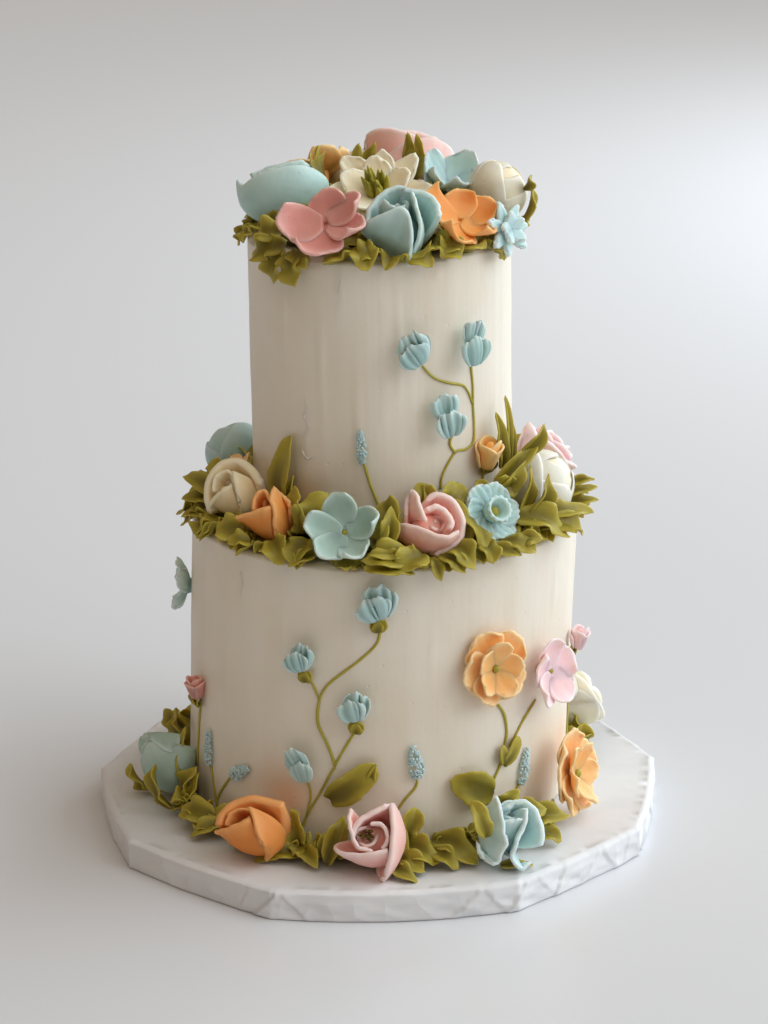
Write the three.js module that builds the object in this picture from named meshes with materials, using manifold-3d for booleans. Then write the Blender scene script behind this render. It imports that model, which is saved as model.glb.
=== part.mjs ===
// A two-tier buttercream cake on its wrapped board, dressed with piped flowers and leaves.
// Millimetres, +Z up. The origin is the centre of the board's underside.
// Azimuth is counted in degrees from -Y (the cake's front) towards +X (its right).
import * as THREE from "three";
import { mergeVertices } from "three/addons/utils/BufferGeometryUtils.js";
import Module from "manifold-3d";

const wasm = await Module();
wasm.setup();

// Driving dimensions
const GAP = 0.3;                    // space left between touching pieces
const BOARD = { side: 116.5, corner: 121, thickness: 12.7, edge: 1.4 };
const BOTTOM_TIER = { radius: 79.6, height: 120, rim: 2.5, footX: -1, topX: 3.5 };
const TOP_TIER = { radius: 53.2, height: 115, rim: 2.5, footX: 2.5, topX: 2 };
const CAKE_X = 2;                   // the flowers' rings are this far right of the board's middle
const ROUND_STEPS = 32;             // facets round a tier
const RIM_STEPS = 2;                // facets across a tier's rounded rim

// Heights of the two levels that carry flowers, and of the top
const BOARD_TOP = BOARD.thickness;
const LEDGE = BOARD_TOP + GAP + BOTTOM_TIER.height;
const SUMMIT = LEDGE + GAP + TOP_TIER.height;

// The board is cut by hand: its outline is a polygon with softly bowed sides and these corners.
const BOARD_CORNERS = [-96, -58, -21, 27, 62, 99, 131, 163, 201, 233];

const COLOURS = {
  board: 0xe9ebee, icing: 0xf0e9dc, blue: 0x9cc4c4, pale_blue: 0xb4d6da, pink: 0xeab0b0,
  orange: 0xf2b06c, cream: 0xf3ead4, leaf: 0x84802f,
};

// Flowers. azimuth, out and up place the flower's middle on the cake; faces is the azimuth and
// the lift above level of the way it looks; size is its radius, and spin turns it on its own axis,
// anticlockwise as seen from in front of it.
const FLOWERS = [
  // on the summit
  { name: "crown_rose_blue_left", form: "rose", colour: "blue",
    azimuth: -84, out: 36, up: 265, faces: [-120, 65], size: 16, spin: 0 },
  { name: "crown_blossom_orange_rear", form: "blossom", colour: "orange",
    azimuth: -140, out: 38, up: 265, faces: [-150, 50], size: 15.5, spin: -18 },
  { name: "crown_blossom_pink", form: "blossom", colour: "pink",
    azimuth: -25, out: 48, up: 261, faces: [-18, 45], size: 17.5, spin: 10 },
  { name: "crown_rose_pink_rear", form: "rose", colour: "pink",
    azimuth: 160, out: 33, up: 267, faces: [160, 60], size: 18, spin: 0 },
  { name: "crown_daisy_cream", form: "daisy", colour: "cream",
    azimuth: -20, out: 4, up: 265, faces: [-20, 70], size: 21, spin: 0 },
  { name: "crown_cup_blue", form: "cup", colour: "pale_blue",
    azimuth: 105, out: 30, up: 267, faces: [20, 60], size: 13, spin: -8 },
  { name: "crown_rose_blue_front", form: "rose", colour: "blue",
    azimuth: 11, out: 44, up: 259, faces: [8, 50], size: 16, spin: 0 },
  { name: "crown_blossom_orange", form: "blossom", colour: "orange",
    azimuth: 45, out: 46, up: 259, faces: [40, 55], size: 15, spin: 8 },
  { name: "crown_rose_cream", form: "bud", colour: "cream",
    azimuth: 92, out: 47, up: 265, faces: [80, 50], size: 14.5, spin: 0 },
  { name: "crown_star_blue", form: "star", colour: "pale_blue",
    azimuth: 60, out: 57, up: 255, faces: [48, 15], size: 11.5, spin: 0 },
  { name: "crown_rose_cream_rear", form: "rose", colour: "cream",
    azimuth: -168, out: 40, up: 261, faces: [-168, 50], size: 14, spin: 0 },
  { name: "crown_blossom_blue_rear", form: "blossom", colour: "blue",
    azimuth: 127, out: 47, up: 259, faces: [127, 45], size: 14, spin: 0 },

  // on the ledge of the bottom tier
  { name: "ledge_rose_blue", form: "rose", colour: "blue",
    azimuth: -121, out: 70, up: 149, faces: [-118, 50], size: 14, spin: 0 },
  { name: "ledge_blossom_orange_small", form: "ruffle", colour: "orange",
    azimuth: -80, out: 58.5, up: 149, faces: [-85, 55], size: 7.5, spin: 0 },
  { name: "ledge_rose_cream", form: "rose", colour: "cream",
    azimuth: -64, out: 65, up: 149, faces: [-62, 40], size: 14.5, spin: 0 },
  { name: "ledge_rose_orange", form: "rose", colour: "orange",
    azimuth: -39, out: 68, up: 145, faces: [-34, 45], size: 12, spin: 0 },
  { name: "ledge_blossom_blue", form: "blossom", colour: "blue",
    azimuth: -11, out: 75, up: 146, faces: [-10, 35], size: 16.5, spin: -8 },
  { name: "ledge_rose_pink", form: "rose", colour: "pink",
    azimuth: 14, out: 71, up: 146, faces: [20, 35], size: 14, spin: 0 },
  { name: "ledge_daffodil_blue", form: "daffodil", colour: "blue",
    azimuth: 37, out: 71, up: 148, faces: [36, 30], size: 13, spin: 0 },
  { name: "ledge_bud_cream", form: "bud", colour: "cream",
    azimuth: 70, out: 70, up: 150, faces: [70, 35], size: 15, spin: 0 },
  { name: "ledge_rose_pink_side", form: "rose", colour: "pink",
    azimuth: 104, out: 70, up: 150, faces: [104, 45], size: 13.5, spin: 0 },
  { name: "ledge_blossom_orange_rear", form: "blossom", colour: "orange",
    azimuth: 143, out: 72, up: 146, faces: [143, 40], size: 13.5, spin: -18 },
  { name: "ledge_rose_blue_rear", form: "rose", colour: "blue",
    azimuth: 166, out: 70, up: 147, faces: [166, 45], size: 15, spin: 0 },
  { name: "ledge_blossom_pink_rear", form: "blossom", colour: "pink",
    azimuth: -170, out: 73, up: 145, faces: [-170, 35], size: 14, spin: 20 },
  { name: "ledge_rose_cream_rear", form: "rose", colour: "cream",
    azimuth: -147, out: 70, up: 147, faces: [-147, 45], size: 14, spin: 0 },

  // on the board, round the foot of the bottom tier
  { name: "foot_rose_blue_left", form: "rose", colour: "blue",
    azimuth: -75, out: 93, up: 27, faces: [-90, 45], size: 13.5, spin: 0 },
  { name: "foot_rose_orange", form: "rose", colour: "orange",
    azimuth: -30, out: 96, up: 27, faces: [-45, 50], size: 16, spin: 0 },
  { name: "foot_rose_pink", form: "rose", colour: "pink",
    azimuth: -2, out: 99, up: 27, faces: [-8, 28], size: 16, spin: 0 },
  { name: "foot_rose_blue", form: "rose", colour: "pale_blue",
    azimuth: 28, out: 99, up: 26, faces: [38, 40], size: 15.5, spin: 0 },
  { name: "foot_blossom_orange", form: "double", colour: "orange",
    azimuth: 60, out: 90, up: 32, faces: [66, 12], size: 18, spin: -18 },
  { name: "foot_blossom_cream", form: "blossom", colour: "cream",
    azimuth: 114, out: 90, up: 33, faces: [112, 30], size: 14, spin: -18 },
  { name: "foot_rose_pink_rear", form: "rose", colour: "pink",
    azimuth: 146, out: 96, up: 27, faces: [146, 40], size: 15, spin: 0 },
  { name: "foot_blossom_blue_rear", form: "blossom", colour: "blue",
    azimuth: 170, out: 92, up: 30, faces: [170, 25], size: 15.5, spin: 10 },
  { name: "foot_rose_cream_rear", form: "rose", colour: "cream",
    azimuth: -163, out: 96, up: 27, faces: [-163, 40], size: 15, spin: 0 },
  { name: "foot_rose_orange_rear", form: "rose", colour: "orange",
    azimuth: -136, out: 95, up: 27, faces: [-136, 40], size: 14.5, spin: 0 },

  // flat on the walls
  { name: "wall_blossom_orange", form: "double", colour: "orange",
    azimuth: 32, out: 83.5, up: 88, faces: [32, 5], size: 16, spin: 6 },
  { name: "wall_blossom_pink", form: "blossom", colour: "pink",
    azimuth: 53, out: 83.5, up: 79, faces: [53, 5], size: 14.5, spin: -18 },
  { name: "wall_blossom_blue_left", form: "ruffle", colour: "pale_blue",
    azimuth: -90, out: 82, up: 99, faces: [-90, 5], size: 12, spin: 0 },
  { name: "wall_blossom_orange_rear", form: "double", colour: "orange",
    azimuth: -155, out: 83.5, up: 88, faces: [-155, 5], size: 15, spin: -10 },
  { name: "wall_blossom_pink_rear", form: "blossom", colour: "pink",
    azimuth: 165, out: 83.5, up: 79, faces: [165, 5], size: 13.5, spin: 14 },
  { name: "wall_bud_pink_left", form: "slimBud", colour: "pink",
    azimuth: -67, out: 83.5, up: 67, faces: [-67, 80], size: 4.2, spin: 0 },
  { name: "wall_bud_pink_right", form: "slimBud", colour: "pink",
    azimuth: 75, out: 83.5, up: 83, faces: [75, 80], size: 4.2, spin: 0 },
  { name: "wall_bud_orange", form: "slimBud", colour: "orange",
    azimuth: 47, out: 58.5, up: 168, faces: [40, 75], size: 5.6, spin: 0 },
  { name: "sprig_blue_low_1", form: "ruffle", colour: "pale_blue",
    azimuth: -2, out: 82, up: 120, faces: [-2, 10], size: 8, spin: 0 },
  { name: "sprig_blue_low_2", form: "ruffle", colour: "pale_blue",
    azimuth: -22, out: 82, up: 96, faces: [-22, 10], size: 7, spin: 0 },
  { name: "sprig_blue_low_3", form: "ruffle", colour: "pale_blue",
    azimuth: -8, out: 82, up: 78, faces: [-8, 10], size: 7, spin: 0 },
  { name: "sprig_blue_low_4", form: "ruffle", colour: "pale_blue",
    azimuth: -24, out: 82, up: 49, faces: [-24, 10], size: 7, spin: 0 },
  { name: "sprig_blue_high_1", form: "ruffle", colour: "pale_blue",
    azimuth: 12, out: 56, up: 214, faces: [12, 5], size: 8, spin: 0 },
  { name: "sprig_blue_high_2", form: "ruffle", colour: "pale_blue",
    azimuth: 38, out: 56, up: 213, faces: [34, 5], size: 8.5, spin: 0 },
  { name: "sprig_blue_high_3", form: "ruffle", colour: "pale_blue",
    azimuth: 26, out: 56, up: 185, faces: [26, 5], size: 8.5, spin: 0 },
];

// Leaves lie in ragged beds: one over the summit, and strips along the ledge and round the foot.
const CROWN_BED = { radius: 55, rise: 8, steps: 20 };
const LEDGE_BEDS = [[-180, -60], [-60, 60], [60, 180]];
const FOOT_BEDS = [[-100, -20], [-20, 60], [98, 258]];
const BED_STEP = 9;                 // degrees between the sections of a strip
const BED_END = 0.3;                // degrees left free at each end of a strip
const SPACE_MARGIN = 1.13;          // a flower's faceted space is this much larger than the flower

const radians = THREE.MathUtils.degToRad;

// A number between 0 and 1 that looks random and is always the same for one seed.
function scatter(seed) {
  const value = Math.sin(seed * 12.9898) * 43758.5453;
  return value - Math.floor(value);
}

// The unit vector at an azimuth, lifted above level.
function direction(azimuth, lift = 0) {
  const level = Math.cos(radians(lift));
  return new THREE.Vector3(
    level * Math.sin(radians(azimuth)), -level * Math.cos(radians(azimuth)), Math.sin(radians(lift)));
}

// A closed body of rings round the Z axis. The rings run from the underside outwards, up and back
// to the middle of the top. Each is a function of the turn in radians that gives [radius, height].
// shift turns a ring's points a little on, to spread them unevenly.
function ringBody(foot, rings, top, steps, shift = () => 0) {
  const positions = [0, 0, foot];
  for (const ring of rings) {
    for (let step = 0; step < steps; step++) {
      const turn = (2 * Math.PI * step) / steps;
      const [radius, height] = ring(turn);
      const turned = turn + shift(turn);
      positions.push(radius * Math.cos(turned), radius * Math.sin(turned), height);
    }
  }
  const peak = positions.length / 3;
  positions.push(0, 0, top);
  const index = [];
  for (let step = 0; step < steps; step++) {
    const next = (step + 1) % steps;
    index.push(0, 1 + next, 1 + step);
    for (let low = 1; low + steps < peak; low += steps) {
      const high = low + steps;
      index.push(low + step, low + next, high + next, low + step, high + next, high + step);
    }
    index.push(peak - steps + step, peak - steps + next, peak);
  }
  return indexedGeometry(positions, index);
}

function indexedGeometry(positions, index) {
  const geometry = new THREE.BufferGeometry();
  geometry.setAttribute("position", new THREE.Float32BufferAttribute(positions, 3));
  geometry.setIndex(index);
  return geometry;
}

// How far a petal reaches at a turn: 1 at its middle and 0 at the notch between two.
function petal(turn, count, phase = 0) {
  return Math.abs(Math.sin((count * (turn - phase)) / 2));
}

// Each flower form returns its body, standing on its own axis with its middle at the origin,
// and the half height of the round space that it takes.

// A piped rose: a cup of outer petals with rolled lips round a furled heart.
function rose(size) {
  const height = size * 1.45;
  const at = (level) => (level - 0.5) * height;
  const outer = (turn) => petal(turn, 4);
  const heart = (turn) => petal(turn, 3, 0.6);
  const rings = [
    () => [0.42 * size, at(0)],
    () => [0.84 * size, at(0.36)],
    (turn) => [(0.88 + 0.12 * outer(turn)) * size, at(0.66 + 0.14 * outer(turn))],
    () => [0.6 * size, at(0.56)],
    (turn) => [(0.36 + 0.1 * heart(turn)) * size, at(0.86 + 0.14 * heart(turn))],
  ];
  return { body: ringBody(at(0), rings, at(0.76), 12), half: 0.62 * height };
}

// Moves the facets of a petal outwards to its sides, so that the petals stand close together.
function broaden(count) {
  return (turn) => (-0.8 / count) * Math.sin(count * turn);
}

// Petals spread flat or cupped round a small boss. notch is how far out two petals part, cup is
// how far the petal tips stand up, both as shares of size; facets is how many a petal has.
function spreadPetals(size, { count, notch, cup, facets }) {
  const thickness = 1 + 0.04 * size;
  const reach = (turn) => (notch + (1 - notch) * petal(turn, count)) * size;
  const rise = (turn) => cup * size * (0.5 + 0.5 * petal(turn, count));
  const middle = 0.45 * cup * size;
  const rings = [
    () => [0.2 * size, -middle],
    (turn) => [reach(turn), rise(turn) - middle],
    (turn) => [reach(turn) * 0.94, rise(turn) + thickness - middle],
    (turn) => [reach(turn) * 0.4, rise(turn) * 0.15 + thickness - middle],
  ];
  const half = Math.max(0.6 * cup * size + 1.4 * thickness, 0.3 * size);
  const top = 1.8 * thickness - middle;
  return { body: ringBody(-middle, rings, top, facets * count, broaden(count)), half };
}

const blossom = (size) => spreadPetals(size, { count: 5, notch: 0.38, cup: 0.34, facets: 3 });
const cup = (size) => spreadPetals(size, { count: 5, notch: 0.5, cup: 0.75, facets: 3 });
const star = (size) => spreadPetals(size, { count: 8, notch: 0.5, cup: 0.3, facets: 2 });
const daisy = (size) => spreadPetals(size, { count: 9, notch: 0.4, cup: 0.2, facets: 2 });
const ruffle = (size) => spreadPetals(size, { count: 4, notch: 0.5, cup: 0.45, facets: 3 });

// Five broad petals with a smaller second layer of five on them.
function doubleBlossom(size) {
  const sink = 0.24 * size;
  const outer = (turn) => (0.46 + 0.54 * petal(turn, 5)) * size;
  const inner = (turn) => (0.34 + 0.26 * petal(turn, 5)) * size;
  const rings = [
    () => [0.3 * size, -sink],
    (turn) => [outer(turn), 0.2 * sink],
    (turn) => [inner(turn), 0.4 * sink],
    (turn) => [inner(turn) * 1.04, 1.2 * sink],
    () => [0.14 * size, 0.5 * sink],
  ];
  return { body: ringBody(-sink, rings, 0.9 * sink, 15, broaden(5)), half: 0.42 * size };
}

// A ruffled disc with a round cup standing on its middle.
function daffodil(size) {
  const ruffled = (turn) => petal(turn, 8);
  const rings = [
    () => [0.25 * size, -0.35 * size],
    (turn) => [(0.88 + 0.12 * ruffled(turn)) * size, 0.16 * ruffled(turn) * size],
    (turn) => [(0.86 + 0.12 * ruffled(turn)) * size, (0.12 + 0.16 * ruffled(turn)) * size],
    () => [0.4 * size, -0.05 * size],
    () => [0.44 * size, 0.34 * size],
    () => [0.28 * size, 0.34 * size],
    () => [0.2 * size, 0.02 * size],
  ];
  return { body: ringBody(-0.35 * size, rings, 0, 16), half: 0.55 * size };
}

// A closed flower: petals folded over one another to a blunt tip. slender is its height for its
// radius.
function closedFlower(size, slender) {
  const height = size * slender;
  const at = (level) => (level - 0.5) * height;
  const fold = (turn) => petal(turn, 3);
  const rings = [
    () => [0.5 * size, at(0)],
    (turn) => [(0.9 + 0.08 * fold(turn)) * size, at(0.32)],
    (turn) => [(0.84 + 0.1 * fold(turn)) * size, at(0.66 + 0.06 * fold(turn))],
    (turn) => [(0.46 + 0.1 * fold(turn)) * size, at(0.9)],
  ];
  return { body: ringBody(at(0), rings, at(1), 9), half: 0.62 * height };
}

const bud = (size) => closedFlower(size, 1.6);
const slimBud = (size) => closedFlower(size, 2.6);

const FORMS = {
  rose, blossom, cup, star, daisy, ruffle, double: doubleBlossom, daffodil, bud, slimBud,
};

// The board: a flat wrapped slab of the hand-cut outline, with a soft upper edge.
function boardOutline(turn) {
  const azimuth = 90 + THREE.MathUtils.radToDeg(turn);
  const turned = ((azimuth - BOARD_CORNERS[0]) % 360 + 360) % 360 + BOARD_CORNERS[0];
  const corners = [...BOARD_CORNERS, BOARD_CORNERS[0] + 360];
  const side = corners.findIndex((corner) => corner > turned);
  const along = (turned - corners[side - 1]) / (corners[side] - corners[side - 1]);
  const bow = Math.sin(Math.PI * along) ** 0.7;
  return BOARD.corner + (BOARD.side - BOARD.corner) * bow;
}

function boardBody() {
  const rings = [
    (turn) => [boardOutline(turn), 0],
    (turn) => [boardOutline(turn), BOARD.thickness - BOARD.edge],
    (turn) => [boardOutline(turn) - BOARD.edge, BOARD.thickness],
  ];
  return ringBody(0, rings, BOARD.thickness, 36);
}

// A tier: an upright drum of cake under smooth icing, with a rounded upper rim. grow makes it
// larger all round, to clear what lies against it.
function tierBody(tier, foot, grow = 0) {
  const profile = [new THREE.Vector2(0, -grow), new THREE.Vector2(tier.radius + grow, -grow)];
  for (let step = 0; step <= RIM_STEPS; step++) {
    const turn = (Math.PI / 2) * (step / RIM_STEPS);
    profile.push(new THREE.Vector2(
      tier.radius - tier.rim + (tier.rim + grow) * Math.cos(turn),
      tier.height - tier.rim + (tier.rim + grow) * Math.sin(turn)));
  }
  profile.push(new THREE.Vector2(0, tier.height + grow));
  const geometry = new THREE.LatheGeometry(profile, ROUND_STEPS);
  geometry.rotateX(Math.PI / 2);
  const lean = new THREE.Matrix4().makeShear(0, 0, 0, 0, (tier.topX - tier.footX) / tier.height, 0);
  return geometry.applyMatrix4(lean).translate(tier.footX, 0, foot);
}

// A strip of leaves from one azimuth to another. section gives the outline of its cross-section,
// as [radius, height] points, for leaf tips that stand out by 0 to 1.
function leafStrip([from, to], middleX, section) {
  const steps = Math.round((to - from) / BED_STEP);
  const positions = [];
  for (let step = 0; step <= steps; step++) {
    const azimuth = from + BED_END + ((to - from - 2 * BED_END) * step) / steps;
    const tip = (step % 2 ? 0.65 : 0) + 0.35 * scatter(from + step);
    const outward = direction(azimuth);
    for (const [radius, height] of section(tip)) {
      positions.push(middleX + outward.x * radius, outward.y * radius, height);
    }
  }
  const corners = section(0).length;
  const index = [];
  for (let step = 0; step < steps; step++) {
    for (let corner = 0; corner < corners; corner++) {
      const here = step * corners + corner;
      const beside = step * corners + ((corner + 1) % corners);
      index.push(here, here + corners, beside + corners, here, beside + corners, beside);
    }
  }
  const end = steps * corners;
  for (let corner = 1; corner < corners - 1; corner++) {
    index.push(0, corner, corner + 1, end, end + corner + 1, end + corner);
  }
  return indexedGeometry(positions, index);
}

// Leaves on the ledge fill it up to the upper tier and hang a little over the lower tier's rim.
function ledgeSection(tip) {
  const rim = BOTTOM_TIER.radius + 2 * GAP;
  return [
    [TOP_TIER.radius + 1.5, LEDGE + GAP],
    [rim, LEDGE + GAP],
    [rim + 0.4, LEDGE - 3 * tip],
    [rim + 1 + 2 * tip, LEDGE + 1 - 2 * tip],
    [rim - 6, LEDGE + 6 + 2 * tip],
    [TOP_TIER.radius + 1.5, LEDGE + 7],
  ];
}

// Leaves round the foot lie on the board and lean on the wall.
function footSection(tip) {
  const wall = BOTTOM_TIER.radius + 1.5;
  const level = BOARD_TOP + GAP;
  return [
    [wall, level],
    [wall + 10 + 10 * tip, level],
    [wall + 10 + 10 * tip, level + 1.5],
    [wall + 7, level + 5 + 2 * tip],
    [wall, level + 7 + 4 * tip],
  ];
}

// Leaves over the summit: a low dome with a ragged rim that hangs just over the tier's edge.
function crownBed() {
  const rim = TOP_TIER.radius + 2 * GAP;
  const ragged = (turn) => scatter(Math.round(turn * 57)) * 0.4 + 0.6 * petal(turn, CROWN_BED.steps / 2);
  const rings = [
    () => [rim, SUMMIT + GAP],
    (turn) => [rim + 0.4, SUMMIT - 3 * ragged(turn)],
    (turn) => [CROWN_BED.radius + 2 * ragged(turn), SUMMIT + 1 - 2 * ragged(turn)],
    (turn) => [CROWN_BED.radius - 6, SUMMIT + 4 + 2 * ragged(turn)],
    () => [0.5 * CROWN_BED.radius, SUMMIT + CROWN_BED.rise],
  ];
  const geometry = ringBody(SUMMIT + GAP, rings, SUMMIT + CROWN_BED.rise + 1, CROWN_BED.steps);
  return geometry.translate(TOP_TIER.topX, 0, 0);
}

// Joining and cutting
function toSolid(geometry) {
  const bare = geometry.clone();
  bare.deleteAttribute("normal");
  bare.deleteAttribute("uv");
  const merged = mergeVertices(bare, 1e-4);
  const triVerts = withoutSlivers(merged.index.array);
  const vertProperties = new Float32Array(merged.attributes.position.array);
  return new wasm.Manifold(new wasm.Mesh({ numProp: 3, vertProperties, triVerts }));
}

// A lathe closes on its axis with triangles of no width, which are dropped.
function withoutSlivers(index) {
  const kept = [];
  for (let i = 0; i < index.length; i += 3) {
    const [a, b, c] = [index[i], index[i + 1], index[i + 2]];
    if (a !== b && b !== c && c !== a) kept.push(a, b, c);
  }
  return new Uint32Array(kept);
}

// A cut can leave crumbs: the piece is the largest body.
function largest(solid) {
  return solid.decompose().reduce((best, body) => (body.volume() > best.volume() ? body : best));
}

function toGeometry(solid) {
  const mesh = solid.getMesh();
  const geometry = indexedGeometry(mesh.vertProperties, Array.from(mesh.triVerts));
  geometry.computeVertexNormals();
  return geometry;
}

// The flower's place: its own Z axis is the way it looks, and before the spin its X axis is level,
// to the right of one who looks at the flower.
function placement(flower) {
  const middle = direction(flower.azimuth).multiplyScalar(flower.out).setZ(flower.up);
  middle.x += CAKE_X;
  const axis = direction(...flower.faces);
  const right = direction(flower.faces[0] + 90);
  const face = new THREE.Matrix4().makeBasis(right, axis.clone().cross(right), axis);
  const spin = new THREE.Matrix4().makeRotationZ(radians(flower.spin));
  const turned = new THREE.Quaternion().setFromRotationMatrix(face.multiply(spin));
  const matrix = new THREE.Matrix4().compose(middle, turned, new THREE.Vector3(1, 1, 1));
  return { middle, axis, turned, matrix };
}

// How far a flower's round space reaches from its middle along a unit direction.
function reachAlong(piece, towards) {
  const along = piece.axis.dot(towards);
  return Math.hypot(piece.size * Math.sqrt(1 - along * along), piece.half * along);
}

// Neighbours share the room between them: each is cut at a plane a little back from the border.
function cutFromNeighbour(piece, other) {
  const between = other.middle.clone().sub(piece.middle);
  const distance = between.length();
  const towards = between.normalize();
  const mine = reachAlong(piece, towards);
  const theirs = reachAlong(other, towards);
  if (mine + theirs + GAP < distance) return;
  const border = (distance * mine) / (mine + theirs) - GAP / 2;
  const offset = piece.middle.dot(towards) + border;
  piece.solid = piece.solid.trimByPlane([-towards.x, -towards.y, -towards.z], -offset);
}

// The round space that a flower takes, for cutting it out of the leaves under it.
function flowerSpace(piece) {
  const geometry = new THREE.SphereGeometry(1, 8, 4);
  const wide = piece.size * SPACE_MARGIN + GAP;
  geometry.scale(wide, piece.half * SPACE_MARGIN + GAP, wide);
  geometry.rotateX(Math.PI / 2);
  return toSolid(geometry.applyMatrix4(piece.matrix));
}

function makeFlowers(obstacles) {
  const pieces = FLOWERS.map((flower) => {
    const { body, half } = FORMS[flower.form](flower.size);
    const piece = { ...flower, ...placement(flower), half };
    piece.solid = toSolid(body.applyMatrix4(piece.matrix));
    return piece;
  });
  for (const piece of pieces) {
    for (const other of pieces) {
      if (other !== piece) cutFromNeighbour(piece, other);
    }
    for (const obstacle of obstacles) piece.solid = piece.solid.subtract(obstacle);
    piece.solid = largest(piece.solid.trimByPlane([0, 0, 1], BOARD_TOP + GAP));
  }
  return pieces;
}

function makeBeds(pieces) {
  const strips = (sectors, name, middleX, section) => sectors.map((sector, count) => ({
    name: `${name}_${count + 1}`, geometry: leafStrip(sector, middleX, section),
  }));
  const beds = [
    { name: "leaf_bed_crown", geometry: crownBed() },
    ...strips(LEDGE_BEDS, "leaf_bed_ledge", BOTTOM_TIER.topX, ledgeSection),
    ...strips(FOOT_BEDS, "leaf_bed_foot", BOTTOM_TIER.footX, footSection),
  ];
  for (const bed of beds) {
    bed.solid = toSolid(bed.geometry);
    for (const piece of pieces) bed.solid = bed.solid.subtract(flowerSpace(piece));
    bed.solid = largest(bed.solid);
  }
  return beds;
}

function makeMesh(name, geometry, colour, roughness) {
  const material = new THREE.MeshStandardMaterial({ color: COLOURS[colour], roughness, metalness: 0 });
  const mesh = new THREE.Mesh(geometry, material);
  mesh.name = name;
  return mesh;
}

function makeCake() {
  const cake = new THREE.Group();
  const ledge = LEDGE + GAP;
  cake.add(makeMesh("board", boardBody(), "board", 0.5));
  cake.add(makeMesh("tier_bottom", tierBody(BOTTOM_TIER, BOARD_TOP + GAP), "icing", 0.6));
  cake.add(makeMesh("tier_top", tierBody(TOP_TIER, ledge), "icing", 0.6));
  const obstacles = [
    toSolid(tierBody(BOTTOM_TIER, BOARD_TOP + GAP, GAP)), toSolid(tierBody(TOP_TIER, ledge, GAP)),
  ];
  const pieces = makeFlowers(obstacles);
  for (const piece of pieces) {
    const geometry = toGeometry(piece.solid).applyMatrix4(piece.matrix.clone().invert());
    const mesh = makeMesh(piece.name, geometry, piece.colour, 0.6);
    mesh.position.copy(piece.middle);
    mesh.quaternion.copy(piece.turned);
    cake.add(mesh);
  }
  for (const bed of makeBeds(pieces)) cake.add(makeMesh(bed.name, toGeometry(bed.solid), "leaf", 0.65));
  return cake;
}

export default makeCake();
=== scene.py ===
"""The looks of a two-tier buttercream cake on its wrapped board, dressed with piped flowers."""

import math

import bpy
import numpy as np
from mathutils import Matrix, Vector


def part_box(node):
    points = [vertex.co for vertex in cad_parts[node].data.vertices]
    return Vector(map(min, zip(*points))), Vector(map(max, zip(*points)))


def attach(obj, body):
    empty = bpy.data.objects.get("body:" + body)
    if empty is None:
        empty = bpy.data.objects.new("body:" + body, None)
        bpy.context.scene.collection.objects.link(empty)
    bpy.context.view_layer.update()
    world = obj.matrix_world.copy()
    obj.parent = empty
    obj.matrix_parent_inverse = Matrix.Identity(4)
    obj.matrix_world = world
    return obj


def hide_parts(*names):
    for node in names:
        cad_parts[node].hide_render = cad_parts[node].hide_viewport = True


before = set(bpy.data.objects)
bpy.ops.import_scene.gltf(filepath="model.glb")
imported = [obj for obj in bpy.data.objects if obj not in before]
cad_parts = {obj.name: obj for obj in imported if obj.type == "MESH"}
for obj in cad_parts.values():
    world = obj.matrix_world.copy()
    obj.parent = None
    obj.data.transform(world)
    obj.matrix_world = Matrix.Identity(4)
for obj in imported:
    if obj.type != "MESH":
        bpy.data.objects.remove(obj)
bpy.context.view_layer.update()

MM = 0.001

# The camera, in mm and degrees
AIM = (3.0, 0.0, 130.1)
DISTANCE = 1236.0
PITCH = 18.2
ROLL = -0.55
LENS = 105.5
SENSOR = 36.0
FLOOR_COLOUR = "#e0e2e6"

# Colours, as sRGB. For the buttercream each is its body colour, a paler one that paints a highlight on
# its rims and a deeper one that paints shade away from them; both also vary its tone at random. The
# icing's are its body, its lighter streaks and its warmer clouds.
COLOURS = {
    "icing": ("#eee7d8", "#f4f0e6", "#e5d8c3"),
    "blue": ("#b4d6d1", "#d8ecea", "#8fbab4"),
    "pale_blue": ("#c3e2e1", "#e2f2f2", "#a0c8c8"),
    "dusty_pink": ("#de958a", "#f1c2ba", "#cb7464"),
    "pink": ("#fbc6bc", "#fde4e0", "#f09c8c"),
    "pale_pink": ("#fbd2d3", "#fee9ea", "#f5adb1"),
    "deep_orange": ("#f39c43", "#f9bd7c", "#dc7b24"),
    "orange": ("#ffc173", "#ffdcac", "#f09d48"),
    "cream": ("#faf2dc", "#fdf9ee", "#f0e2bd"),
    # ivory: a warmer copy of cream, painted warm shade on the ledge's cream rose on the shaded left.
    "ivory": ("#f6e2b6", "#fbf0d4", "#e6c98d"),
    # teal: a darker, greener copy of blue, painted warm shade on two blue flowers on the shaded left.
    "teal": ("#a9c6b9", "#d4e5de", "#86a99c"),
    # burnt_orange: a deeper copy of deep_orange, painted shade on the foot's orange rose on the shaded
    # left.
    "burnt_orange": ("#e88f3a", "#f4b271", "#d2731f"),
    # warm_cream: a warmer copy of cream, painted warm shade on the crown's cream rose; the crown's daisy
    # takes it too.
    "warm_cream": ("#f8ebcc", "#fcf5e2", "#ecd6a4"),
    "sprig_blue": ("#a8cbc8", "#d6e9e9", "#84acae"),
    # warm_pink: a paler copy of pink, painted light on the ledge's pink rose against the shade of its own
    # petals.
    "warm_pink": ("#ffc6b8", "#ffe4dd", "#fb9b88"),
    # bright_orange: a brighter copy of orange, painted light on two orange flowers shaded by nearby leaves
    # and flowers.
    "bright_orange": ("#ffc06a", "#ffdca6", "#ffa344"),
    # leaf: its deepest colour paints shade at the leaves' bases and middles, and also varies their tone at
    # random.
    "leaf": ("#8f8219", "#bfb148", "#4d4207"),
    "stem": ("#b3a840", "#c5bc5c", "#948a2a"),
    "stamen": ("#5c4a1a", "#7a6426", "#3a2c0c"),
    "tuft": ("#a9a131", "#cdc663", "#787120"),
}

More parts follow.
